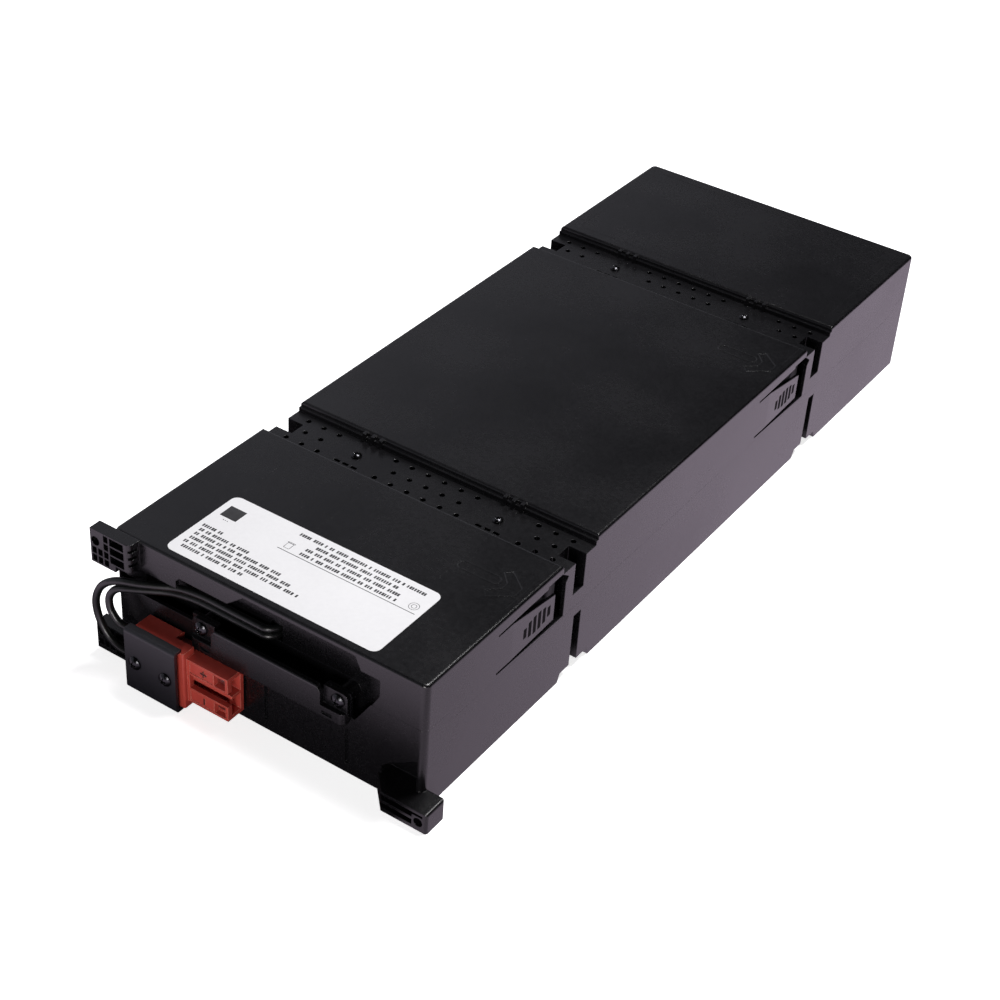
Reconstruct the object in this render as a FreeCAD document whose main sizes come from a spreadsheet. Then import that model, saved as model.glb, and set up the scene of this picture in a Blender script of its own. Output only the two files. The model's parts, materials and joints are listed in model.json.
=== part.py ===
import FreeCAD, Part
import math
import os
import Sketcher
from FreeCAD import Placement, Rotation, Vector

# UPS battery cartridge: a long two-shell plastic case with eight sealed 12 V blocks,
# a handle and a two-pole connector on its front end.
# Frame: +Z up, +X to the right and +Y to the rear, seen from the connector end.
# The origin is the middle of the case's flat underside.

doc = FreeCAD.newDocument("BatteryCartridge")
sheet = doc.addObject("Spreadsheet::Sheet", "Sizes")

DRIVING = (
    # the case
    ("caseWidth", 190.0, "outside width of both shells"),
    ("caseHeight", 78.0, "underside to lid top"),
    ("lidLength", 113.4, "front lid and rear lid, along Y"),
    ("stripLength", 31.8, "recessed perforated strip, along Y"),
    ("middleLength", 226.4, "middle lid, along Y"),
    ("wall", 2.2, "moulded wall of both shells"),
    ("cornerRadius", 3.5, "upright corners of the case"),
    ("lidRadius", 1.6, "rounded lid edges"),
    ("stripDrop", 5.0, "strip below the lid tops"),
    ("ledgeDepth", 1.8, "step in front of the middle and rear lids"),
    ("ledgeDrop", 2.6, "step below the lid tops"),
    # the parting line between the shells
    ("partingHeight", 44.0, "parting line along the sides"),
    ("frontRise", 6.5, "parting line higher at the front end"),
    ("frontRiseLength", 17.0, "length of that higher stretch"),
    ("frontRiseSlope", 7.0, "length of the slope down from it"),
    ("rearRise", 7.0, "parting line higher at the rear end"),
    ("rearRiseLength", 9.0, "length of that higher stretch"),
    ("rearRiseSlope", 20.0, "length of the S-bend up to it"),
    # the waists beside each strip
    ("notchWidth", 10.0, "upper side notch, along Y"),
    ("notchDepth", 10.5, "upper side notch, along X"),
    ("notchFloor", 53.0, "floor of the upper side notch"),
    ("slotWidth", 7.0, "lower side slot, along Y"),
    ("slotDepth", 8.0, "lower side slot, along X"),
    ("slotTop", 37.5, "top of the lower side slot"),
    ("slotShift", 1.7, "lower slot behind the strip's middle"),
    ("recessRise", 5.0, "underside raised below each strip"),
    ("recessLead", 3.6, "strip start to recess start"),
    ("recessTail", 1.0, "recess end past the strip end"),
    ("recessSlope", 2.2, "length of the recess's sloped ends"),
    # perforations of the strips
    ("ventRadius", 1.5, "vent hole"),
    ("ventPitch", 10.4, "vent holes along X"),
    ("ventRowPitch", 9.5, "vent rows along Y"),
    ("ventOuterStart", 63.6, "middle of the strip to its outer vents"),
    ("keySlotLength", 3.8, "short slots beside each cover screw, along X"),
    ("keySlotWidth", 1.8, "the same, along Y"),
    ("keySlotPitch", 5.4, "the same, from slot to slot"),
    # latch fingers moulded in the cover's sides
    ("fingerLength", 51.0, "latch finger, root to free end"),
    ("fingerBend", 12.5, "root to the line where it slopes inwards"),
    ("fingerThickness", 1.6, "latch finger"),
    ("fingerSlope", 0.8, "free end inside the side face"),
    ("fingerSetback", 4.9, "free end to the strip start"),
    ("fingerBottom", 47.2, "lower edge"),
    ("fingerTop", 69.8, "upper edge at its root"),
    ("fingerTaper", 7.0, "upper edge lower at the free end"),
    ("fingerGap", 8.0, "window past the free end"),
    ("gripLength", 26.0, "oval ribbed grip, along Y"),
    ("gripHeight", 10.5, "oval ribbed grip, along Z"),
    ("gripDepth", 0.95, "grooves between its ribs"),
    # front end
    ("pocketDepth", 9.6, "finger pocket behind the front face"),
    ("pocketBack", 1.8, "its rear wall"),
    ("pocketFloor", 34.0, "its floor"),
    ("pocketEnd", 17.0, "rib that ends it, right of the handle lip"),
    ("earRadius", 2.6, "screw holes in both ears and the foot"),
    ("earDepth", 6.7, "ears in front of the case"),
    ("earReach", 9.4, "ears beyond the left side"),
    ("earWidth", 26.0, "ears along X"),
    ("earHeight", 16.9, "ears along Z"),
    ("earRound", 3.2, "rounded right end of the ears"),
    ("earCell", 3.9, "pitch of the small cells in the ears"),
    ("earDrop", 3.4, "outer part of the upper ear lower than its rest"),
    ("earDropWidth", 16.0, "that outer part along X"),
    ("lowerEarBottom", 2.2, "lower ear above the underside"),
    ("footDepth", 10.5, "foot in front of the case"),
    ("footReach", 10.4, "foot beyond the right side"),
    ("footWidth", 26.6, "foot along X"),
    ("footFlare", 9.4, "foot wider towards its left where it meets the case"),
    ("footHeight", 12.0, "foot along Z"),
    ("footReturn", 4.0, "foot along the right side"),
    ("footRound", 1.5, "rounded edges at its right end"),
    ("ribWall", 1.0, "ribs of the ears and the foot"),
    # handle
    ("handleCentre", 4.7, "middle of the handle, along X"),
    ("lipLength", 95.0, "handle lip along X"),
    ("lipBottom", 33.0, "handle lip"),
    ("lipHeight", 7.4, "handle lip"),
    ("handleDepth", 5.5, "handle in front of the case"),
    ("barLength", 67.0, "raised grip bar along X"),
    ("barHeight", 10.6, "raised grip bar above the lip"),
    ("barThickness", 2.8, "raised grip bar"),
    ("handleEar", 2.6, "thickness of the screwed ears"),
    ("handleScrewPitch", 84.0, "between the handle screws"),
    ("handleScrewHeight", 45.8, "handle screws above the underside"),
    # connector and its bracket
    ("plugHeight", 19.4, "connector's middle above the underside"),
    ("plugLeft", -71.6, "connector's cable end, along X"),
    ("plugLength", 59.1, "connector along X"),
    ("plugBodyLength", 33.3, "its body with the collar, along X"),
    ("plugCollar", 11.5, "the collar alone, along X"),
    ("plugCollarDepth", 8.0, "the collar, front to back"),
    ("plugBodyHeight", 34.6, "its body along Z"),
    ("plugShellHeight", 26.6, "its mating shell along Z"),
    ("plugDepth", 14.2, "its body, front to back"),
    ("plugStep", 2.4, "mating shell behind the body's front"),
    ("plugStandoff", 1.0, "connector in front of the case"),
    ("plugWall", 2.4, "walls of the mating shell"),
    ("polePitch", 16.4, "between the two poles"),
    ("tongueHeight", 9.1, "front tongue of each pole"),
    ("tongueWindow", 7.0, "its window, along X"),
    ("tongueFrame", 1.1, "frame round that window"),
    ("bladeHeight", 4.8, "contact blades along Z"),
    ("bracketWidth", 32.8, "bracket along X"),
    ("bracketDepth", 5.3, "bracket's front and flanges, front to back"),
    ("bracketGap", 2.3, "bracket's front to the connector"),
    ("bracketSheet", 1.8, "bracket thickness"),
    ("bracketOverhang", 1.6, "bracket past the connector's cable end"),
    ("plugScrewPitch", 19.8, "between the bracket screws"),
    # batteries
    ("batteryLength", 90.0, "sealed block along X"),
    ("batteryDepth", 101.0, "sealed block along Y"),
    ("batteryHeight", 70.0, "sealed block along Z"),
    ("batteryRadius", 3.0, "its long edges"),
    ("sideGap", 0.5, "block to side wall"),
    ("endGap", 0.4, "block to the strip or rib next to it"),
    ("batterySetback", 3.8, "strip end to the blocks behind it"),
    ("lidInset", 1.6, "welded lid inside the block's sides"),
    ("lidShare", 14.0, "welded lid along Y"),
    ("wellDepth", 1.5, "wells round the terminals"),
    ("locatorHeight", 14.0, "ribs on the tray floor that locate the blocks"),
    ("terminalHeight", 22.0, "terminals above the underside"),
    ("terminalOffset", 33.0, "block's middle to its terminals, along X"),
    ("tabWidth", 6.3, "push-on tab"),
    ("tabThickness", 0.8, "push-on tab"),
    ("tabLength", 7.4, "push-on tab"),
    ("sleeveWidth", 9.0, "insulated receptacle along X"),
    ("sleeveHeight", 5.0, "insulated receptacle along Z"),
    ("sleeveLength", 10.0, "insulated receptacle along Y"),
    ("sleeveStand", 0.8, "receptacle in front of the block's face"),
    ("tabPlay", 0.1, "tab to receptacle"),
    # leads and screws
    ("leadDiameter", 4.0, "insulated leads"),
    ("screwRadius", 2.0, "all screws"),
    ("screwHeadRadius", 3.8, "pan heads of the handle and bracket screws"),
    ("screwHeadHeight", 2.4, "the same"),
    ("coverHeadRadius", 2.9, "pan heads of the cover screws"),
    ("coverHeadHeight", 1.9, "the same"),
    ("screwPitch", 90.0, "between the two cover screws of a strip"),
    ("screwLength", 28.0, "cover screws under their heads"),
    ("frontScrewLength", 10.0, "handle screws under their heads"),
    ("bossRadius", 4.6, "screw bosses"),
    ("screwPlay", 0.05, "screw to pilot hole"),
    ("lowLead", 53.0, "positive output lead in the gap between the blocks"),
    ("leadStep", 4.3, "negative output lead above it"),
    ("linkLead", 40.0, "series lead in that gap"),
    ("leadPlay", 0.15, "lead to its hole in the connector"),
    ("clearance", 0.3, "parts that meet without touching"),
)


class Size:
    """A length that carries its formula over the sheet and its present value."""

    def __init__(self, text, value):
        self.text = text
        self.value = value

    def join(self, sign, other, value):
        other = size(other)
        return Size("(%s %s %s)" % (self.text, sign, other.text), value(self.value, other.value))

    def __add__(self, other):
        return self.join("+", other, lambda a, b: a + b)

    def __sub__(self, other):
        return self.join("-", other, lambda a, b: a - b)

    def __mul__(self, other):
        return self.join("*", other, lambda a, b: a * b)

    def __truediv__(self, other):
        return self.join("/", other, lambda a, b: a / b)

    def __radd__(self, other):
        return size(other) + self

    def __rsub__(self, other):
        return size(other) - self

    __rmul__ = __mul__

    def __neg__(self):
        return self * -1


def size(value):
    """A plain number as a Size; a Size stays as it is."""
    return value if isinstance(value, Size) else Size("(%.6f)" % value, float(value))


class Sheet:
    pass


s = Sheet()
for row, (alias, number, note) in enumerate(DRIVING, start=1):
    sheet.set("A%d" % row, alias)
    sheet.set("B%d" % row, "%g" % number)
    sheet.set("C%d" % row, note)
    sheet.setAlias("B%d" % row, alias)
    setattr(s, alias, Size("Sizes." + alias, number))
doc.recompute()

# Planes and levels that both shells share.
halfWidth = s.caseWidth / 2
rear = s.lidLength + s.stripLength + s.middleLength / 2
front = -rear
strips = ((front + s.lidLength, front + s.lidLength + s.stripLength),
          (s.middleLength / 2, s.middleLength / 2 + s.stripLength))
stripLevel = s.caseHeight - s.stripDrop
frontParting = s.partingHeight + s.frontRise
rearParting = s.partingHeight + s.rearRise
innerHalf = halfWidth - s.wall
pocketRear = front + s.pocketDepth
cellFront = pocketRear + s.pocketBack
beyond = 1.0          # how far a cut runs past the face that it opens

# The blocks: four rows of two, each row's middle along Y and the way its terminals point.
rows = ((strips[0][0] - s.endGap - s.batteryDepth / 2, 1),
        (strips[0][1] + s.batterySetback + s.batteryDepth / 2, -1),
        (strips[1][0] - s.endGap - s.batteryDepth / 2, 1),
        (strips[1][1] + s.batterySetback + s.batteryDepth / 2, -1))
column = innerHalf - s.sideGap - s.batteryLength / 2
cells = [(side * column, y, way) for y, way in rows for side in (-1, 1)]

finished = []


def makeBody(label):
    body = doc.addObject("PartDesign::Body", label)
    body.Label = label
    finished.append(body)
    return body


def makeSketch(body, name, plane, level=0.0):
    """A sketch on one of the body's origin planes, moved to a level along +X, +Y or +Z.
    On XZ the sketch's own normal is -Y, so the level changes sign."""
    sketch = body.newObject("Sketcher::SketchObject", name)
    support = [f for f in body.Origin.OriginFeatures if f.Role == plane + "_Plane"][0]
    sketch.AttachmentSupport = [(support, "")]
    sketch.MapMode = "FlatFace"
    level = size(level)
    sketch.setExpression("AttachmentOffset.Base.z", (-level if plane == "XZ" else level).text)
    return sketch


def pin(sketch, geometry, point, across, up):
    """Holds one point of a sketch at two bound coordinates."""
    for kind, value in (("DistanceX", size(across)), ("DistanceY", size(up))):
        index = sketch.addConstraint(
            Sketcher.Constraint(kind, -1, 1, geometry, point, value.value))
        sketch.setExpression("Constraints[%d]" % index, value.text)


def polygon(sketch, corners):
    """A closed outline through bound corners."""
    corners = [(size(a), size(b)) for a, b in corners]
    places = [Vector(a.value, b.value, 0) for a, b in corners]
    count = len(places)
    lines = [sketch.addGeometry(Part.LineSegment(places[i], places[(i + 1) % count]), False)
             for i in range(count)]
    for i in range(count):
        sketch.addConstraint(
            Sketcher.Constraint("Coincident", lines[i], 2, lines[(i + 1) % count], 1))
    for line, (a, b) in zip(lines, corners):
        pin(sketch, line, 1, a, b)


def rectangle(sketch, left, right, low, high):
    polygon(sketch, ((left, low), (right, low), (right, high), (left, high)))


def circle(sketch, across, up, radius):
    across, up, radius = size(across), size(up), size(radius)
    ring = sketch.addGeometry(
        Part.Circle(Vector(across.value, up.value, 0), Vector(0, 0, 1), radius.value), False)
    pin(sketch, ring, 3, across, up)
    index = sketch.addConstraint(Sketcher.Constraint("Radius", ring, radius.value))
    sketch.setExpression("Constraints[%d]" % index, radius.text)


def extrude(body, sketch, length, cut=False, both=False):
    """Pads or pockets a sketch, and makes sure that it added or removed material.
    A pad runs along +X, -Y or +Z from its sketch, a pocket the other way."""
    before = 0.0 if body.Tip is None or body.Tip is sketch else body.Shape.Volume
    kind = "PartDesign::Pocket" if cut else "PartDesign::Pad"
    feature = body.newObject(kind, sketch.Name + ("Pocket" if cut else "Pad"))
    feature.Profile = sketch
    feature.Midplane = both
    feature.setExpression("Length", size(length).text)
    sketch.Visibility = False
    body.Tip = feature
    doc.recompute()
    change = body.Shape.Volume - before
    if (change >= 0) if cut else (change <= 0):
        raise RuntimeError("%s changed nothing" % feature.Name)
    return feature


def blocks(body, name, boxes, cut=False):
    """Blocks of one height: each ((x0, x1), (y0, y1)), all between two z levels."""
    footprints, (low, high) = boxes
    sketch = makeSketch(body, name, "XY", high if cut else low)
    for (x0, x1), (y0, y1) in footprints:
        rectangle(sketch, x0, x1, y0, y1)
    return extrude(body, sketch, size(high) - size(low), cut)


def acrossFront(body, name, draw, near, far, cut=False):
    """Extrudes a front-view outline between two y levels, near < far."""
    sketch = makeSketch(body, name, "XZ", near if cut else far)
    draw(sketch)
    return extrude(body, sketch, size(far) - size(near), cut)


def rounded(body, name, radius, wanted):
    """Fillets the edges that a test of their ends picks."""
    base = body.Tip
    picked = []
    for number, edge in enumerate(base.Shape.Edges, start=1):
        if len(edge.Vertexes) == 2 and isinstance(edge.Curve, Part.Line):
            if wanted(edge.Vertexes[0].Point, edge.Vertexes[1].Point):
                picked.append("Edge%d" % number)
    if not picked:
        raise RuntimeError("%s found no edges" % name)
    fillet = body.newObject("PartDesign::Fillet", name)
    fillet.Base = (base, picked)
    fillet.setExpression("Radius", size(radius).text)
    body.Tip = fillet
    doc.recompute()
    return fillet


def near(a, b):
    return abs(a - b) < 1e-4


def upright(a, b):
    return near(a.x, b.x) and near(a.y, b.y)


def partingLine():
    """The seam seen from the side, front to rear."""
    return ((front, frontParting),
            (front + s.frontRiseLength, frontParting),
            (front + s.frontRiseLength + s.frontRiseSlope, s.partingHeight),
            (rear - s.rearRiseLength - s.rearRiseSlope, s.partingHeight),
            (rear - s.rearRiseLength - s.rearRiseSlope * 0.6, s.partingHeight + s.rearRise * 0.2),
            (rear - s.rearRiseLength - s.rearRiseSlope * 0.25, s.partingHeight + s.rearRise * 0.8),
            (rear - s.rearRiseLength, rearParting),
            (rear, rearParting))


def corners(body, name):
    """Rounds the four upright corners of the case."""
    def wanted(a, b):
        return upright(a, b) and near(abs(a.x), halfWidth.value) and near(abs(a.y), rear.value)
    rounded(body, name, s.cornerRadius, wanted)


def ventPlaces(strip, lines):
    """Vent hole centres of one strip: outer and middle groups, every other row staggered."""
    middle = (strip[0] + strip[1]) / 2
    places = []
    for row in lines:
        y = middle + s.ventRowPitch * row
        staggered = row == 0
        outer = s.ventOuterStart + (s.ventPitch / 2 if staggered else 0.0)
        for side in (-1, 1):
            for step in range(2 if staggered else 3):
                places.append((side * (outer + s.ventPitch * step), y))
        centred = range(-2, 3) if staggered else [n + 0.5 for n in range(-3, 3)]
        places.extend((s.ventPitch * step, y) for step in centred)
    return places


def oval(step, count):
    """Share of the grip's height at one of its ribs."""
    t = (step + 0.5) / count * 2 - 1
    return math.sqrt(1 - t * t)


def buildCover():
    body = makeBody("upper_cover")
    top, ledge = s.caseHeight, s.caseHeight - s.ledgeDrop
    side = [(front, top), (strips[0][0], top), (strips[0][0], stripLevel)]
    for number, (start, end) in enumerate(strips):
        if number:
            side += [(start, top), (start, stripLevel)]
        side += [(end - s.ledgeDepth, stripLevel), (end - s.ledgeDepth, ledge), (end, ledge),
                 (end, top)]
    side += [(rear, top)]
    outline = makeSketch(body, "coverSide", "YZ")
    polygon(outline, side + list(reversed(partingLine())))
    extrude(body, outline, s.caseWidth, both=True)
    corners(body, "coverCorners")

    def lidEdge(a, b):
        return near(a.z, top.value) and near(b.z, top.value)
    rounded(body, "coverEdges", s.lidRadius, lidEdge)

    # the inside, one wall away from the side outline
    ceiling, low, under = top - s.wall, stripLevel - s.wall, s.partingHeight - beyond
    inside = [(cellFront, under), (cellFront, ceiling)]
    for start, end in strips:
        inside += [(start - s.wall, ceiling), (start - s.wall, low), (end + s.wall, low),
                   (end + s.wall, ceiling)]
    inside += [(rear - s.wall, ceiling), (rear - s.wall, under)]
    hollow = makeSketch(body, "coverInside", "YZ")
    polygon(hollow, inside)
    extrude(body, hollow, innerHalf * 2, cut=True, both=True)
    rightRib = s.handleCentre + s.lipLength / 2 + s.pocketEnd
    blocks(body, "coverPocket", ((((-innerHalf, rightRib), (front + s.wall, pocketRear)),
                                  ((rightRib + s.wall, innerHalf), (front + s.wall, pocketRear))),
                                 (under, ceiling)), cut=True)

    # linings, then the upper side notches
    linings, notches = [], []
    inner = halfWidth - s.notchDepth
    for start, end in strips:
        middle = (start + end) / 2
        half = s.notchWidth / 2
        for sign in (-1, 1):
            linings.append(((sign * (inner - s.wall), sign * halfWidth),
                            (middle - half - s.wall, middle + half + s.wall)))
            notches.append(((sign * inner, sign * (halfWidth + beyond)),
                            (middle - half, middle + half)))
    blocks(body, "notchLinings", (linings, (s.notchFloor - s.wall, stripLevel)))
    blocks(body, "notches", (notches, (s.notchFloor, s.caseHeight + beyond)), cut=True)

    # screw bosses and their holes
    bosses = makeSketch(body, "coverBosses", "XY", s.notchFloor + s.wall * 2)
    screws = makeSketch(body, "coverScrewHoles", "XY", stripLevel + beyond)
    for start, end in strips:
        for sign in (-1, 1):
            circle(bosses, sign * s.screwPitch / 2, (start + end) / 2, s.bossRadius)
            circle(screws, sign * s.screwPitch / 2, (start + end) / 2,
                   s.screwRadius + s.clearance)
    extrude(body, bosses, low - s.notchFloor - s.wall * 2 + s.wall / 2)
    extrude(body, screws, s.stripDrop + s.caseHeight - s.notchFloor, cut=True)

    # latch windows and fingers, a pair in front of each strip
    windows = makeSketch(body, "latchWindows", "YZ")
    fingers = makeSketch(body, "latchFingers", "XY", s.fingerBottom)
    tapers = makeSketch(body, "fingerTapers", "YZ")
    for start, end in strips:
        free = start - s.fingerSetback
        root = free - s.fingerLength
        past = free + s.fingerGap
        polygon(windows, ((root, s.fingerBottom - 1.2), (past, s.partingHeight + 0.8),
                          (past, s.fingerTop - 4.0), (past + 2.3, s.fingerTop - 1.0),
                          (past - 4.0, s.fingerTop + 3.6), (free - 8.5, s.fingerTop + 3.4),
                          (free - 8.5, s.fingerTop + 2.0), (root, s.fingerTop + 1.0)))
        polygon(tapers, ((root + s.fingerBend, s.fingerTop), (free + 1.0, s.fingerTop - s.fingerTaper),
                         (free + 1.0, s.fingerTop + 0.5), (root + s.fingerBend, s.fingerTop + 0.5)))
        for sign in (-1, 1):
            outer = (sign * halfWidth, sign * (halfWidth - s.fingerSlope))
            inward = sign * s.fingerThickness
            polygon(fingers, ((outer[0], root - 1.0), (outer[0], root + s.fingerBend), (outer[1], free),
                              (outer[1] - inward, free), (outer[0] - inward, root + s.fingerBend),
                              (outer[0] - inward, root - 1.0)))
    extrude(body, windows, s.caseWidth + beyond * 2, cut=True, both=True)
    extrude(body, fingers, s.fingerTop - s.fingerBottom)
    extrude(body, tapers, s.caseWidth + beyond * 2, cut=True, both=True)

    # vents, key slots and hook ribs of the strips
    vents = makeSketch(body, "vents", "XY", stripLevel)
    slots = makeSketch(body, "keySlots", "XY", stripLevel)
    hooks = makeSketch(body, "hookRibs", "XY", stripLevel)
    for (start, end), lines in zip(strips, ((-1, 0, 1), (0, 1))):
        for x, y in ventPlaces((start, end), lines):
            circle(vents, x, y, s.ventRadius)
        y = (start + end) / 2 - s.ventRowPitch
        for sign in (-1, 1):
            for step in (-1, 0, 1):
                x = sign * s.screwPitch / 2 + s.keySlotPitch * step
                rectangle(slots, x - s.keySlotLength / 2, x + s.keySlotLength / 2,
                          y - s.keySlotWidth / 2, y + s.keySlotWidth / 2)
                rectangle(hooks, x - s.ribWall, x + s.ribWall, end - s.ledgeDepth - 0.8,
                          end + s.lidRadius)
    extrude(body, vents, s.wall, cut=True)
    extrude(body, slots, s.wall, cut=True)
    extrude(body, hooks, s.stripDrop - 0.3)

    # ribs of the oval thumb grips
    for sign in (-1, 1):
        level = halfWidth - s.gripDepth - s.fingerSlope * 0.8
        name = "gripRight" if sign > 0 else "gripLeft"
        grip = makeSketch(body, name, "YZ", sign * (level if sign < 0 else halfWidth + beyond))
        count = 6
        for start, end in strips:
            middle = start - s.fingerSetback - 3.0 - s.gripLength / 2
            pitch = s.gripLength / count
            for step in range(count):
                y = middle + pitch * (step + 0.5 - count / 2)
                half = s.gripHeight / 2 * oval(step, count)
                centre = (s.fingerBottom + s.fingerTop) / 2 - 2.5
                rectangle(grip, y - pitch * 0.27, y + pitch * 0.27, centre - half, centre + half)
        extrude(body, grip, halfWidth + beyond - level, cut=True)

    # opening of the front wall above the handle, and the lead hole behind it
    def opening(sketch):
        left, right = s.handleCentre - s.lipLength / 2, s.handleCentre + s.lipLength / 2
        polygon(sketch, ((-innerHalf + 0.8, frontParting - beyond), (-innerHalf + 0.8, frontParting + 2.5),
                         (left - 32.0, frontParting + 2.5), (left - 32.0, frontParting + 9.5),
                         (left - 12.5, frontParting + 9.5), (left - 12.5, frontParting + 14.0),
                         (left - 10.0, frontParting + 16.5), (left + 20.0, frontParting + 16.5),
                         (left + 30.0, ceiling - 0.6), (right + 2.0, ceiling - 0.6),
                         (right + 5.5, frontParting + 17.5), (right + 16.5, frontParting + 17.5),
                         (right + 16.5, frontParting + 8.0), (right + 11.6, frontParting - beyond)))
    acrossFront(body, "frontOpening", opening, front - beyond, front + s.wall + 0.2, cut=True)
    leadHole = s.leadDiameter / 2 + 1.5
    blocks(body, "leadHole", ((((-leadHole, leadHole), (pocketRear - 0.5, cellFront + 0.5)),),
                              (under, frontParting + s.leadDiameter * 2 + 2.0)), cut=True)
    buildEar(body, "upper", s.caseHeight, True)
    return body


def buildEar(body, name, top, isUpper):
    """One screw ear at the left of the front: a waffle of ribs round its hole."""
    left = -halfWidth - s.earReach
    right = left + s.earWidth
    face = front - s.earDepth
    low = top - s.earHeight
    depths = (face, front + 0.6)
    blocks(body, name + "Ear", ((((left, right), depths),), (low, top)))

    def roundEnd(a, b):
        return upright(a, b) and near(a.x, right.value) and near(a.y, face.value)
    rounded(body, name + "EarEnd", s.earRound, roundEnd)
    lines = 3
    if isUpper:
        blocks(body, "earDrop", ((((left, left + s.earDropWidth), depths),),
                                 (low - s.earDrop, low + s.ribWall)))
        lines = 4

    # three narrow columns of cells and a wide one; the hole takes the place of some
    rib, height = s.ribWall, (s.earHeight + s.earDrop - s.ribWall) / 4
    cells = []
    for line in range(lines):
        for step in range(3):
            x0 = left + rib + s.earCell * step
            z0 = top - height * (line + 1)
            cells.append((x0, x0 + s.earCell - rib, z0, z0 + height - rib))
    tall = (s.earHeight - rib) / 3
    for line in range(3):
        z0 = low + rib + tall * line
        cells.append((left + rib + s.earCell * 3, right - s.earRound - rib, z0, z0 + tall - rib))
    holeX, holeZ = left + 3.4, top - 6.8 if isUpper else low + 11.5

    def clearOfHole(x0, x1, z0, z1):
        apart = math.hypot(max(x0.value - holeX.value, 0, holeX.value - x1.value),
                           max(z0.value - holeZ.value, 0, holeZ.value - z1.value))
        return apart > s.earRadius.value + 0.6

    def waffle(sketch):
        for cell in cells:
            if clearOfHole(*cell):
                rectangle(sketch, *cell)
    acrossFront(body, name + "EarCells", waffle, face, front - s.wall * 0.9, cut=True)
    acrossFront(body, name + "EarHole", lambda sketch: circle(sketch, holeX, holeZ, s.earRadius),
                face - beyond, front + beyond, cut=True)
    for step in (1, 2, 3):
        level = low + s.earHeight / 4 * step
        blocks(body, "%sEarGroove%d" % (name, step),
               ((((right - 1.6, right + 1.0), (face - beyond, front - 0.8)),),
                (level - 0.8, level + 0.8)), cut=True)


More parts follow.
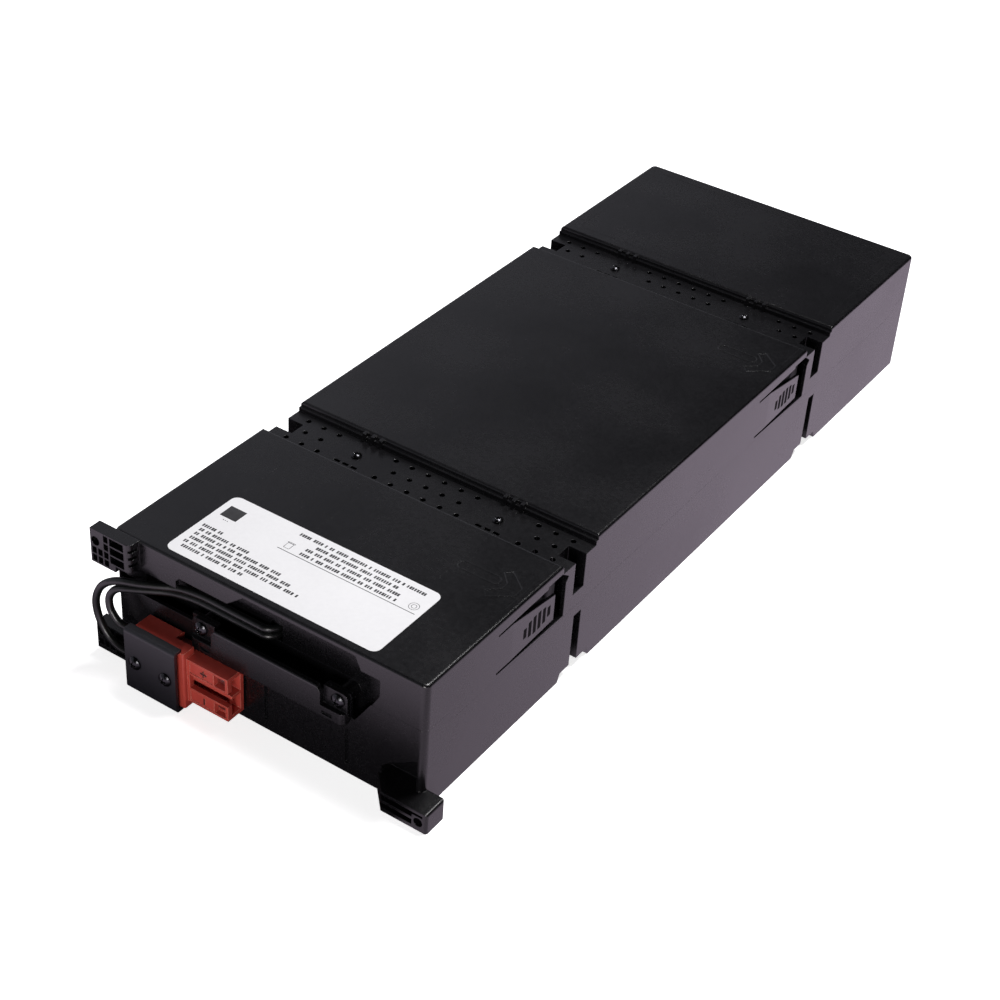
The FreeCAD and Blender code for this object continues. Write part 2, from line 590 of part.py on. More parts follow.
def buildTray():
    body = makeBody("lower_tray")
    side = [(front, 0.0)]
    floor = [(front + s.wall, s.wall)]
    for start, end in strips:
        a, b = start + s.recessLead, end + s.recessTail
        side += [(a, 0.0), (a + s.recessSlope, s.recessRise), (b - s.recessSlope, s.recessRise),
                 (b, 0.0)]
        floor += [(a - s.wall / 2, s.wall), (a + s.recessSlope - s.wall / 2, s.recessRise + s.wall),
                  (b - s.recessSlope + s.wall / 2, s.recessRise + s.wall), (b + s.wall / 2, s.wall)]
    side += [(rear, 0.0)]
    outline = makeSketch(body, "traySide", "YZ")
    polygon(outline, side + list(reversed(partingLine())))
    extrude(body, outline, s.caseWidth, both=True)
    corners(body, "trayCorners")
    over = rearParting + frontParting - s.partingHeight
    floor += [(rear - s.wall, s.wall), (rear - s.wall, over), (cellFront, over),
              (cellFront, s.pocketFloor - s.wall), (front + s.wall, s.pocketFloor - s.wall)]
    hollow = makeSketch(body, "trayInside", "YZ")
    polygon(hollow, floor)
    extrude(body, hollow, innerHalf * 2, cut=True, both=True)
    lipLeft = s.handleCentre - s.lipLength / 2
    lipRight = s.handleCentre + s.lipLength / 2
    rightRib = lipRight + s.pocketEnd
    blocks(body, "trayPocket", ((((-innerHalf, rightRib), (front + s.wall, pocketRear)),
                                 ((rightRib + s.wall, innerHalf), (front + s.wall, pocketRear))),
                                (s.pocketFloor, over)), cut=True)

    # linings, then the lower side slots
    linings, slots = [], []
    inner = halfWidth - s.slotDepth
    for start, end in strips:
        low = (start + end) / 2 + s.slotShift - s.slotWidth / 2
        high = low + s.slotWidth
        for sign in (-1, 1):
            linings.append(((sign * (inner - s.wall), sign * halfWidth),
                            (low - s.wall, high + s.wall)))
            slots.append(((sign * inner, sign * (halfWidth + beyond)), (low, high)))
    blocks(body, "slotLinings", (linings, (s.recessRise, s.slotTop + s.wall)))
    blocks(body, "sideSlots", (slots, (-beyond, s.slotTop)), cut=True)

    # bosses that take the cover screws
    reach = s.notchFloor + s.wall * 2 - s.clearance
    bosses = makeSketch(body, "trayBosses", "XY", s.recessRise + s.wall / 2)
    pilots = makeSketch(body, "trayPilots", "XY", reach + beyond)
    for start, end in strips:
        for sign in (-1, 1):
            circle(bosses, sign * s.screwPitch / 2, (start + end) / 2, s.bossRadius)
            circle(pilots, sign * s.screwPitch / 2, (start + end) / 2,
                   s.screwRadius + s.screwPlay)
    extrude(body, bosses, reach - s.recessRise - s.wall / 2)
    extrude(body, pilots, s.screwLength - stripLevel + reach + s.wall + beyond, cut=True)

    # low ribs that keep the rows of blocks apart
    between = (rows[1][0] + s.batteryDepth / 2 + s.endGap,
               rows[2][0] - s.batteryDepth / 2 - s.endGap)
    last = rows[3][0] + s.batteryDepth / 2 + s.endGap
    ends = ((-innerHalf - 0.2, -s.leadDiameter), (s.leadDiameter, innerHalf + 0.2))
    ribs = [(span, (between[0], between[0] + s.wall)) for span in ends]
    ribs += [(span, (between[1] - s.wall, between[1])) for span in ends]
    ribs += [((x - s.wall / 2, x + s.wall / 2), (last, rear - s.wall + 0.2))
             for x in (-column - 22.0, -column + 22.0, column - 22.0, column + 22.0)]
    blocks(body, "locators", (ribs, (s.wall - 0.2, s.wall + s.locatorHeight)))

    # the front wall: lead outlet, finger opening and the corner beside it
    postLeft = s.handleCentre - s.barLength / 2
    postRight = s.handleCentre + s.barLength / 2

    def openings(sketch):
        over = frontParting + beyond
        rectangle(sketch, -innerHalf + 0.8, lipLeft - 2.0, s.partingHeight + 1.0, over)
        rectangle(sketch, postLeft, postRight, s.pocketFloor + s.wall, over)
        polygon(sketch, ((lipRight, s.pocketFloor + s.wall), (lipRight + 2.5, s.pocketFloor + s.wall),
                         (lipRight + 11.6, frontParting), (lipRight + 11.6, over), (lipRight, over)))
    acrossFront(body, "trayOpenings", openings, front - beyond, front + s.wall + 0.2, cut=True)

    # bosses behind the handle's ears and the connector's screws
    handleScrews = [s.handleCentre + sign * s.handleScrewPitch / 2 for sign in (-1, 1)]
    plugScrews = plugScrewPlaces()

    def innerBosses(sketch):
        for x in handleScrews:
            circle(sketch, x, s.handleScrewHeight, s.bossRadius - 0.4)
        for x in plugScrews:
            circle(sketch, x, s.plugHeight, s.bossRadius - 0.4)

    def outerBosses(sketch):
        for x in plugScrews:
            circle(sketch, x, s.plugHeight, s.bossRadius)

    def pilotHoles(sketch):
        for x in handleScrews:
            circle(sketch, x, s.handleScrewHeight, s.screwRadius + s.screwPlay)
        for x in plugScrews:
            circle(sketch, x, s.plugHeight, s.screwRadius + s.screwPlay)
    acrossFront(body, "innerBosses", innerBosses, front + s.wall / 2, pocketRear + s.wall / 2)
    acrossFront(body, "plugStandoffs", outerBosses, front - s.plugStandoff, front + s.wall / 2)
    acrossFront(body, "frontPilots", pilotHoles, front - s.plugStandoff - beyond,
                pocketRear - s.wall / 2, cut=True)

    # shallow upright grooves and the dished corner above the foot
    def grooves(sketch):
        for x in (s.handleCentre - 3.7, lipRight - 1.7):
            rectangle(sketch, x - 1.2, x + 1.2, 6.0, s.lipBottom - 4.6)
    acrossFront(body, "frontGrooves", grooves, front - beyond, front + s.wall / 2, cut=True)
    dishLeft, dishRight = halfWidth - 24.0, halfWidth - 3.6
    acrossFront(body, "dishLining",
                lambda sketch: rectangle(sketch, dishLeft - s.wall, innerHalf + 0.5,
                                         s.footHeight - s.wall, s.pocketFloor - s.wall / 2),
                front + s.wall / 2, pocketRear)

    def dish(sketch):
        polygon(sketch, ((dishLeft, s.footHeight), (dishRight, s.footHeight),
                         (dishRight, s.pocketFloor - s.wall * 1.5), (dishLeft + 5.0, s.footHeight + 9.0),
                         (dishLeft, s.footHeight + 4.5)))
    acrossFront(body, "dish", dish, front - beyond, pocketRear - s.wall, cut=True)

    # the foot at the right, wider where it meets the case, and the lower ear at the left
    outside = halfWidth + s.footReach
    footLeft, footFace = outside - s.footWidth, front - s.footDepth
    foot = makeSketch(body, "footOutline", "XY")
    polygon(foot, ((footLeft, footFace), (outside, footFace), (outside, front + s.footReturn),
                   (halfWidth - 1.0, front + s.footReturn), (halfWidth - 1.0, front + 0.6),
                   (footLeft - s.footFlare, front + 0.6), (footLeft - s.footFlare, front - 0.6)))
    extrude(body, foot, s.footHeight)

    def footEdges(a, b):
        return near(a.x, outside.value) and near(b.x, outside.value) and (
            upright(a, b) or near(a.z, s.footHeight.value) and near(b.z, s.footHeight.value))
    rounded(body, "footEdges", s.footRound, footEdges)
    holeX, holeZ = outside - 5.0, s.footHeight * 0.45
    ribs = [s.footHeight * share for share in (0.18, 0.45, 0.58, 0.74, 0.86)]

    def footSlots(sketch):
        start, end = footLeft - s.footFlare - beyond, holeX - s.earRadius - s.ribWall
        rectangle(sketch, start, end, ribs[0], ribs[1])
        polygon(sketch, ((start, ribs[2]), (end, ribs[2]), (end, ribs[3]),
                         (outside - s.footRound - s.ribWall, ribs[3]),
                         (outside - s.footRound - s.ribWall, ribs[4]), (start, ribs[4])))
    acrossFront(body, "footSlots", footSlots, footFace - beyond, front - s.wall, cut=True)
    acrossFront(body, "footHole", lambda sketch: circle(sketch, holeX, holeZ, s.earRadius),
                footFace - beyond, front + s.footReturn + beyond, cut=True)
    buildEar(body, "lower", s.lowerEarBottom + s.earHeight, False)
    return body


def plugScrewPlaces():
    """The two bracket screws along X, centred on the bracket."""
    middle = s.plugLeft - s.bracketOverhang + s.bracketWidth / 2
    return [middle + sign * s.plugScrewPitch / 2 for sign in (-1, 1)]


def place(part, x, y, z, turn=None):
    """Puts a part at bound coordinates, turned by a fixed rotation."""
    part.Placement = Placement(Vector(0, 0, 0), turn or Rotation())
    for axis, value in zip("xyz", (x, y, z)):
        part.setExpression(".Placement.Base." + axis, size(value).text)
    return part


def primitive(kind, name, **lengths):
    """A Part primitive with bound sizes."""
    part = doc.addObject("Part::" + kind, name)
    for key, value in lengths.items():
        part.setExpression(key, size(value).text)
    return part


def boxBetween(name, across, along, up):
    """A box between bound limits along X, Y and Z."""
    (x0, x1), (y0, y1), (z0, z1) = [[size(v) for v in pair] for pair in (across, along, up)]
    part = primitive("Box", name, Length=x1 - x0, Width=y1 - y0, Height=z1 - z0)
    return place(part, x0, y0, z0)


def boolean(kind, name, base, tool):
    result = doc.addObject("Part::" + kind, name)
    result.Base, result.Tool = base, tool
    return result


def fuse(name, parts):
    result = doc.addObject("Part::MultiFuse", name)
    result.Shapes = parts
    return result


def group(label, parts):
    """Identical solids that share one node."""
    result = doc.addObject("Part::Compound", label)
    result.Label = label
    result.Links = parts
    finished.append(result)


def buildBattery(label, x, y, way):
    """A sealed block on its side. Its own frame has the middle of its floor at the origin
    and its terminal face towards +Y."""
    body = makeBody(label)
    half, deep = s.batteryLength / 2, s.batteryDepth / 2
    top = s.batteryHeight
    face = makeSketch(body, label + "Face", "XZ", deep)
    rectangle(face, -half, half, 0.0, top)
    extrude(body, face, s.batteryDepth)

    def longEdge(a, b):
        return near(a.x, b.x) and near(a.z, b.z)
    rounded(body, label + "Edges", s.batteryRadius, longEdge)

    def rim(sketch):
        rectangle(sketch, -half - beyond, half + beyond, -beyond, top + beyond)
        rectangle(sketch, -half + s.lidInset, half - s.lidInset, s.lidInset, top - s.lidInset)
    acrossFront(body, label + "Lid", rim, deep - s.lidShare, deep, cut=True)

    def wells(sketch):
        level = s.terminalHeight - s.wall
        for sign in (-1, 1):
            middle = s.terminalOffset * sign
            rectangle(sketch, middle - s.sleeveWidth, middle + s.sleeveWidth,
                      level - s.sleeveHeight, level + s.sleeveHeight)
    acrossFront(body, label + "Wells", wells, deep - s.wellDepth, deep, cut=True)
    place(body, x, y, s.wall, Rotation(Vector(0, 0, 1), 0 if way > 0 else 180))


def buildTerminals():
    """A tab and an insulated receptacle on each pole of each block."""
    tabs, sleeves = [], []
    level = s.terminalHeight
    places = [(middle + side * s.terminalOffset, y, way)
              for middle, y, way in cells for side in (-1, 1)]
    for number, (x, y, way) in enumerate(places, start=1):
        face = y + s.batteryDepth / 2 * way

        def between(start, end):
            a, b = face + size(start) * way, face + size(end) * way
            return (a, b) if way > 0 else (b, a)
        tabHalf, thin = s.tabWidth / 2, s.tabThickness / 2
        wide, high = s.sleeveWidth / 2, s.sleeveHeight / 2
        tabs.append(boxBetween("tab%d" % number, (x - tabHalf, x + tabHalf),
                               between(-s.wellDepth, s.tabLength), (level - thin, level + thin)))
        skin = boxBetween("sleeveSkin%d" % number, (x - wide, x + wide),
                          between(s.sleeveStand, s.sleeveStand + s.sleeveLength),
                          (level - high, level + high))
        slot = boxBetween("sleeveSlot%d" % number,
                          (x - tabHalf - s.tabPlay, x + tabHalf + s.tabPlay),
                          between(0.0, s.tabLength + s.clearance),
                          (level - thin - s.tabPlay, level + thin + s.tabPlay))
        sleeves.append(boolean("Cut", "sleeve%d" % number, skin, slot))
    group("terminal_tabs", tabs)
    group("terminal_sleeves", sleeves)


def screw(name, x, y, z, length, turn, head=None):
    """A domed cross-recess screw. In its own frame the head sits below the origin and the
    shank points along +Z, before the turn."""
    radius, height = head or (s.screwHeadRadius, s.screwHeadHeight)
    ball = radius * 1.37
    rim = place(primitive("Cylinder", name + "Rim", Radius=radius, Height=height), 0, 0, -height)
    dome = place(primitive("Sphere", name + "Ball", Radius=ball), 0, 0, ball - height)
    head = boolean("Common", name + "Head", rim, dome)
    tip = s.screwRadius * 0.7
    shank = primitive("Cylinder", name + "Shank", Radius=s.screwRadius, Height=length - tip)
    point = place(primitive("Cone", name + "Point", Radius1=s.screwRadius,
                            Radius2=s.screwRadius * 0.5, Height=tip), 0, 0, length - tip)
    arm, slot = radius * 0.52, radius * 0.13
    deep = (-height - beyond, height * -0.4)
    cross = fuse(name + "Cross", [
        boxBetween(name + "Arm", (-arm, arm), (-slot, slot), deep),
        boxBetween(name + "OtherArm", (-slot, slot), (-arm, arm), deep)])
    blank = fuse(name + "Blank", [head, shank, point])
    return place(boolean("Cut", name, blank, cross), x, y, z, turn)


def buildScrews():
    down = Rotation(Vector(1, 0, 0), 180)
    rearwards = Rotation(Vector(1, 0, 0), -90)
    group("cover_screws", [
        screw("coverScrew%d" % (number + 1), side * s.screwPitch / 2,
              (strips[line][0] + strips[line][1]) / 2, stripLevel, s.screwLength, down,
              (s.coverHeadRadius, s.coverHeadHeight))
        for number, (line, side) in enumerate(((0, -1), (0, 1), (1, -1), (1, 1)))])
    group("handle_screws", [
        screw("handleScrew%d" % (number + 1), s.handleCentre + side * s.handleScrewPitch / 2,
              front - s.handleEar, s.handleScrewHeight, s.frontScrewLength, rearwards)
        for number, side in enumerate((-1, 1))])
    through = front - bracketFace + s.frontScrewLength - s.handleEar
    group("bracket_screws", [
        screw("bracketScrew%d" % (number + 1), x, bracketFace, s.plugHeight, through, rearwards)
        for number, x in enumerate(plugScrewPlaces())])


def buildHandle():
    body = makeBody("handle_bar")
    left, right = s.handleCentre - s.lipLength / 2, s.handleCentre + s.lipLength / 2
    barLeft, barRight = s.handleCentre - s.barLength / 2, s.handleCentre + s.barLength / 2
    lipTop = s.lipBottom + s.lipHeight
    face = front - s.handleDepth
    blocks(body, "lip", ((((left, right), (face, front)),), (s.lipBottom, lipTop)))

    def lipEnds(a, b):
        return upright(a, b) and near(a.y, face.value)
    rounded(body, "lipEnds", s.handleDepth * 0.6, lipEnds)

    def outline(sketch):
        slant = s.barHeight * 0.25
        polygon(sketch, ((barLeft, lipTop - 1.0), (barRight, lipTop - 1.0),
                         (barRight, lipTop + s.barHeight - slant),
                         (barRight - slant, lipTop + s.barHeight),
                         (barLeft + slant, lipTop + s.barHeight),
                         (barLeft, lipTop + s.barHeight - slant)))
    acrossFront(body, "bar", outline, face, face + s.barThickness)
    blocks(body, "ears", ((((left, barLeft), (front - s.handleEar, front)),
                           ((barRight, right), (front - s.handleEar, front))),
                          (lipTop - 1.0, lipTop + s.barHeight)))

    def earCorners(a, b):
        return (near(a.x, b.x) and near(a.z, b.z) and near(a.z, (lipTop + s.barHeight).value)
                and (near(a.x, left.value) or near(a.x, right.value)))
    rounded(body, "earCorners", s.handleEar, earCorners)

    def holes(sketch):
        for side in (-1, 1):
            circle(sketch, s.handleCentre + side * s.handleScrewPitch / 2, s.handleScrewHeight,
                   s.screwRadius + s.clearance)
    acrossFront(body, "handleHoles", holes, front - s.handleEar - beyond, front + beyond, cut=True)

    def dimples(sketch):
        for x in (left + 7.0, right - 13.0):
            rectangle(sketch, x, x + 6.0, s.lipBottom + 2.4, s.lipBottom + 4.6)
    acrossFront(body, "lipDimples", dimples, face, face + s.wall / 2, cut=True)

    def frontEdges(a, b):
        return (near(a.y, face.value) and near(b.y, face.value) and near(a.z, b.z)
                and (near(a.z, s.lipBottom.value) or near(a.z, (lipTop + s.barHeight).value)))
    rounded(body, "handleEdges", s.barThickness * 0.4, frontEdges)


def buildConnector():
    body = makeBody("connector_housing")
    low, high = s.plugHeight - s.plugBodyHeight / 2, s.plugHeight + s.plugBodyHeight / 2
    shell = (s.plugHeight - s.plugShellHeight / 2, s.plugHeight + s.plugShellHeight / 2)
    joint, end = s.plugLeft + s.plugBodyLength, s.plugLeft + s.plugLength
    collar = joint - s.plugCollar

    def along(a, b):
        return near(a.y, b.y) and near(a.z, b.z)
    blocks(body, "housing", ((((s.plugLeft, collar), (plugFace, plugBack)),), (low, high)))
    rounded(body, "housingEdges", s.plugWall / 2, along)
    blocks(body, "shell", ((((collar - beyond, end), (shellFace, plugBack)),), shell))
    blocks(body, "collar", ((((collar - beyond, joint),
                              (plugFace, plugFace + s.plugCollarDepth)),), (low, high)))

    def collarEdges(a, b):
        return (near(a.x, joint.value) and near(b.x, joint.value) and near(a.y, plugFace.value)
                and near(b.y, plugFace.value))
    rounded(body, "collarEdges", s.plugWall * 0.4, collarEdges)

    # one mouth per pole, the tunnel behind it and the lead's hole
    web = s.plugWall * 0.4
    mouths = makeSketch(body, "mouths", "YZ", end + beyond)
    tunnels = makeSketch(body, "tunnels", "YZ", joint + beyond)
    holes = makeSketch(body, "leadHoles", "YZ", s.plugLeft + contactStart)
    tall = tunnelHalf * 1.12
    for side in (-1, 1):
        inner, outer = s.plugHeight + web * side, (shell[1] if side > 0 else shell[0])
        edges = (inner, outer - s.plugWall * side)
        rectangle(mouths, mouthFace, plugBack - s.plugWall,
                  *(edges if side > 0 else edges[::-1]))
        pole = s.plugHeight + s.polePitch / 2 * side
        rectangle(tunnels, plugMiddle - tunnelHalf, plugMiddle + tunnelHalf,
                  pole - tall, pole + tall)
        circle(holes, plugMiddle, pole, s.leadDiameter / 2 + s.leadPlay)
    extrude(body, mouths, end - joint + beyond, cut=True)
    extrude(body, tunnels, joint + beyond - s.plugLeft - contactStart + beyond, cut=True)
    extrude(body, holes, contactStart + beyond, cut=True)

    # two tongues in front of the mouths, each with a window and a panel with its mark
    gap = s.plugShellHeight / 2 - s.tongueHeight
    levels = [s.plugHeight + (s.plugShellHeight - s.tongueHeight) / 2 * side for side in (-1, 1)]

    def tongues(sketch):
        rectangle(sketch, joint + beyond * 1.5, end + beyond, s.plugHeight - gap,
                  s.plugHeight + gap)
    acrossFront(body, "tongueGap", tongues, shellFace - beyond, mouthFace, cut=True)

    windowLeft = end - s.tongueFrame * 1.5 - s.tongueWindow
    half = s.tongueHeight / 2 - s.tongueFrame

    def windows(sketch):
        for level in levels:
            rectangle(sketch, windowLeft, windowLeft + s.tongueWindow, level - half, level + half)
    acrossFront(body, "tongueWindows", windows, shellFace - beyond, mouthFace + 0.2, cut=True)

    def panels(sketch):
        left, right = joint + 1.6, windowLeft - 0.8
        middle = left * 0.4 + right * 0.6
        arm, bar = 1.9, 0.4
        for level, isPlus in zip(levels, (False, True)):
            rectangle(sketch, left, right, level - 3.4, level + 3.4)
            if isPlus:
                polygon(sketch, [(middle + x, level + z) for x, z in (
                    (arm, bar), (bar, bar), (bar, arm), (-bar, arm), (-bar, bar), (-arm, bar),
                    (-arm, -bar), (-bar, -bar), (-bar, -arm), (bar, -arm), (bar, -bar),
                    (arm, -bar))])
            else:
                rectangle(sketch, middle - bar, middle + bar, level - arm, level + arm)
    acrossFront(body, "tonguePanels", panels, shellFace, shellFace + s.plugWall * 0.2, cut=True)

    def screws(sketch):
        for x in plugScrewPlaces():
            circle(sketch, x, s.plugHeight, s.screwRadius + s.clearance)
    acrossFront(body, "plugScrewHoles", screws, plugFace - beyond, plugBack + beyond, cut=True)


def buildContacts():
    for label, side in (("connector_contact_positive", 1), ("connector_contact_negative", -1)):
        pole = s.plugHeight + s.polePitch / 2 * side
        start = s.plugLeft + contactStart
        bladeFace = mouthFace + s.clearance / 3
        barrel = place(primitive("Cylinder", label + "Barrel", Radius=tunnelHalf - s.clearance,
                                 Height=s.leadDiameter * 2.5),
                       start, plugMiddle, pole, Rotation(Vector(0, 1, 0), 90))
        blade = boxBetween(label + "Blade", (start + s.leadDiameter * 2, s.plugLeft + s.plugLength
                                             - s.plugWall * 2),
                           (bladeFace, bladeFace + s.tabThickness * 2),
                           (pole - s.bladeHeight / 2, pole + s.bladeHeight / 2))
        result = fuse(label, [barrel, blade])
        result.Label = label
        finished.append(result)


def buildBracket():
    body = makeBody("connector_bracket")
    left = s.plugLeft - s.bracketOverhang
    grip = s.plugBodyHeight / 2 + s.bracketSheet
    low, high = s.plugHeight - grip, s.plugHeight + grip
    sheetIn, flange = bracketFace + s.bracketSheet, bracketFace + s.bracketDepth
    profile = makeSketch(body, "bracketProfile", "YZ", left)
    polygon(profile, ((bracketFace, low), (flange, low), (flange, low + s.bracketSheet),
                      (sheetIn, low + s.bracketSheet), (sheetIn, high - s.bracketSheet),
                      (flange, high - s.bracketSheet), (flange, high), (bracketFace, high)))
    extrude(body, profile, s.bracketWidth)

    def bends(a, b):
        return (near(a.y, bracketFace.value) and near(b.y, bracketFace.value)
                and near(a.z, b.z))
    rounded(body, "bracketBends", s.bracketSheet * 1.2, bends)

    def holes(sketch):
        for x in plugScrewPlaces():
            circle(sketch, x, s.plugHeight, s.screwRadius + s.clearance)
    acrossFront(body, "bracketHoles", holes, bracketFace - beyond, sheetIn + beyond, cut=True)


def route(points):
    """Straight runs joined by tangent arcs, each arc as large as its two runs allow."""
    points = [Vector(*[size(v).value for v in point]) for point in points]
    edges, start, radii = [], points[0], []
    for before, corner, after in zip(points, points[1:], points[2:]):
        into, out = (corner - before), (after - corner)
        turn = into.getAngle(out)
        share = 0.45 * min(into.Length, out.Length)
        radii.append(share / math.tan(turn / 2))
        into.normalize()
        out.normalize()
        first, last = corner - into * share, corner + out * share
        inwards = (out - into).normalize()
        middle = corner + inwards * (radii[-1] / math.cos(turn / 2) - radii[-1])
        edges += [Part.LineSegment(start, first).toShape(), Part.Arc(first, middle, last).toShape()]
        start = last
    edges.append(Part.LineSegment(start, points[-1]).toShape())
    return Part.Wire(edges), radii


def buildLead(label, points):
    """An insulated lead: a round section swept along its route."""
    path, radii = route(points)
    first = path.Edges[0]
    radius = s.leadDiameter.value / 2
    section = Part.Circle(first.Vertexes[0].Point, first.tangentAt(first.FirstParameter), radius)
    tube = path.makePipe(Part.Face(Part.Wire([section.toShape()])))
    wanted = math.pi * radius ** 2 * path.Length
    if abs(tube.Volume - wanted) > 0.01 * wanted:
        raise RuntimeError("%s has volume %.0f, not %.0f" % (label, tube.Volume, wanted))
    lead = doc.addObject("Part::Feature", label)
    lead.Label = label
    lead.Shape = tube
    lead.Placement = Placement()
    finished.append(lead)
    tightest = "tightest bend %.1f mm" % min(radii) if radii else "straight"
    print("%s: %.0f mm long, %s" % (label, path.Length, tightest))


def buildLeads():
    """Leads between neighbouring blocks, one through the middle gap, and the two outputs."""
    level = s.terminalHeight
    half = s.sleeveWidth / 2
    exits = [y + (s.batteryDepth / 2 + s.sleeveStand + s.sleeveLength * 0.6) * way
             for y, way in rows]
    inner, outer = column - s.terminalOffset, column + s.terminalOffset
    reach = outer - half

    def across(number, y):
        buildLead("series_lead_%d" % number, ((-inner + half, y, level), (inner - half, y, level)))

    def uTurn(number, side, a, b):
        """From one row's outer pole round to the next row's, as half an oval."""
        steps = [(reach, a), (reach - 6.5, a)]
        for step in range(1, 4):
            angle = math.pi * step / 4
            steps.append((reach - 6.5 - 9.0 * math.sin(angle),
                          (a + b) / 2 - (b - a) / 2 * math.cos(angle)))
        steps += [(reach - 6.5, b), (reach, b)]
        buildLead("series_lead_%d" % number, [(side * x, y, level) for x, y in steps])
    across(1, exits[0])
    uTurn(2, 1, exits[0], exits[1])
    across(3, exits[1])
    link = s.linkLead
    buildLead("series_lead_4", (
        (-reach, exits[1], level), (-reach + 9.0, exits[1], level),
        (-reach + 19.0, exits[1], level + 6.5), (-reach + 30.0, exits[1], link - 2.5),
        (-reach + 44.0, exits[1], link), (-14.0, exits[1] - 0.6, link),
        (-4.0, exits[1] + 1.4, link), (0.0, exits[1] + 10.0, link),
        (0.0, exits[2] - 6.6, link), (0.0, exits[2] - 0.8, link - 4.8),
        (-0.2, exits[2], level + 7.4), (-3.0, exits[2], level),
        (-inner + half, exits[2], level)))
    uTurn(5, -1, exits[2], exits[3])
    across(6, exits[3])
    uTurn(7, 1, exits[2], exits[3])

    plug = (s.plugLeft + contactStart, s.plugLeft - 3.0)
    y = plugMiddle - 1.5
    low, pole = s.lowLead, s.plugHeight + s.polePitch / 2
    buildLead("output_lead_positive", (
        (-reach, exits[0], level), (-reach + 9.0, exits[0], level),
        (-reach + 18.0, exits[0], level + 8.0), (-reach + 27.0, exits[0], level + 21.0),
        (-reach + 38.0, exits[0], low - 1.4), (-reach + 54.0, exits[0], low),
        (-6.0, exits[0], low), (0.0, exits[0] - 5.0, low),
        (0.0, pocketMiddle, low), (-13.6, pocketMiddle, low),
        (-48.0, pocketMiddle + 0.3, low - 0.2), (-61.0, front + 4.0, low - 0.8),
        (-71.0, front - 1.0, low - 1.6), (-80.0, front - 5.0, low - 2.4),
        (-88.5, front - 7.4, low - 4.6), (-92.6, front - 8.6, low - 11.0),
        (-91.4, y, low - 17.4), (-86.0, y, pole + 1.2), (-78.0, plugMiddle, pole),
        (plug[0], plugMiddle, pole)))
    high, pole = s.lowLead + s.leadStep, s.plugHeight - s.polePitch / 2
    buildLead("output_lead_negative", (
        (inner + half, exits[2], level), (inner + half + 8.0, exits[2], level),
        (inner + half + 13.0, exits[2], level + 8.0), (inner + half + 14.0, exits[2], high - 11.0),
        (inner + half + 9.0, exits[2], high - 1.6), (inner + half - 3.0, exits[2], high),
        (6.0, exits[2], high), (0.0, exits[2] - 5.0, high),
        (0.0, pocketMiddle, high), (-13.6, pocketMiddle, high),
        (-44.0, pocketMiddle + 0.3, high), (-57.0, front + 4.2, high - 0.4),
        (-66.0, front - 0.4, high - 1.0), (-76.0, front - 4.6, high - 1.8),
        (-88.0, front - 7.4, high - 3.6), (-97.0, front - 8.8, high - 9.8),
        (-101.2, y, high - 20.0), (-100.0, y, high - 31.0), (-94.0, y, pole + 5.4),
        (-86.0, y, pole + 0.9), (-78.0, plugMiddle, pole), (plug[0], plugMiddle, pole)))


# Levels of the connector and its bracket, front to back.
plugBack = front - s.plugStandoff
plugFace = plugBack - s.plugDepth
plugMiddle = (plugFace + plugBack) / 2
shellFace = plugFace + s.plugStep
mouthFace = shellFace + s.plugWall * 1.25     # inside face of the front tongues
bracketFace = plugFace - s.bracketGap - s.bracketSheet
contactStart = s.plugWall * 2.5
tunnelHalf = s.leadDiameter * 0.8
pocketMiddle = (front + s.wall + pocketRear) / 2

buildCover()
buildTray()
for number, (x, y, way) in enumerate(cells, start=1):
    buildBattery("battery_%d" % number, x, y, way)
buildTerminals()
buildConnector()
buildContacts()
buildBracket()
buildHandle()
buildScrews()
buildLeads()
doc.recompute()

# Nothing is written unless every object is whole.
for thing in doc.Objects:
    if {"Invalid", "Error"} & set(thing.State):
        raise RuntimeError("%s failed: %s" % (thing.Label, thing.State))
for part in finished:
    if part.Shape.isNull() or not part.Shape.isValid() or not part.Shape.Solids:
        raise RuntimeError("%s has no valid solid" % part.Label)
os.makedirs("parts", exist_ok=True)
for part in finished:
    part.Shape.exportStep("parts/%s.step" % part.Label)
print("%d nodes, %d solids" % (len(finished), sum(len(part.Shape.Solids) for part in finished)))
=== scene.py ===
import json
import math

import bpy
import numpy as np
from mathutils import Matrix, Vector


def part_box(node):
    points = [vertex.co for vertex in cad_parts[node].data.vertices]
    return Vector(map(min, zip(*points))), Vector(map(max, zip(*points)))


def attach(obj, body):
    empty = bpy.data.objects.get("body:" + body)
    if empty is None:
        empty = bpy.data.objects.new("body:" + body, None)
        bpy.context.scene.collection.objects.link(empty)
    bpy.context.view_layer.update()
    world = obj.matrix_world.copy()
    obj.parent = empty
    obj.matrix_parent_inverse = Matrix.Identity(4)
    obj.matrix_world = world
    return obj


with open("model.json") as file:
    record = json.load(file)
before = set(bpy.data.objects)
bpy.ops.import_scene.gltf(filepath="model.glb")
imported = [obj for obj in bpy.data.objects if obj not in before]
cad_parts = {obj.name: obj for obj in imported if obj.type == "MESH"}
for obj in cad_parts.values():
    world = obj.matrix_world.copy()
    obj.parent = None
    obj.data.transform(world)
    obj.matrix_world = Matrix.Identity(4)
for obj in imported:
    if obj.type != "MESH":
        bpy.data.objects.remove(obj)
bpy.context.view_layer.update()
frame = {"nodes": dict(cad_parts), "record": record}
print("frame loaded:", len(frame["nodes"]), "nodes")

# the case without its ears: the cover reaches its right side, rear end and lid top
caseRight, caseRear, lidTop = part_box("upper_cover")[1]
caseLeft, caseFront = -caseRight, -caseRear


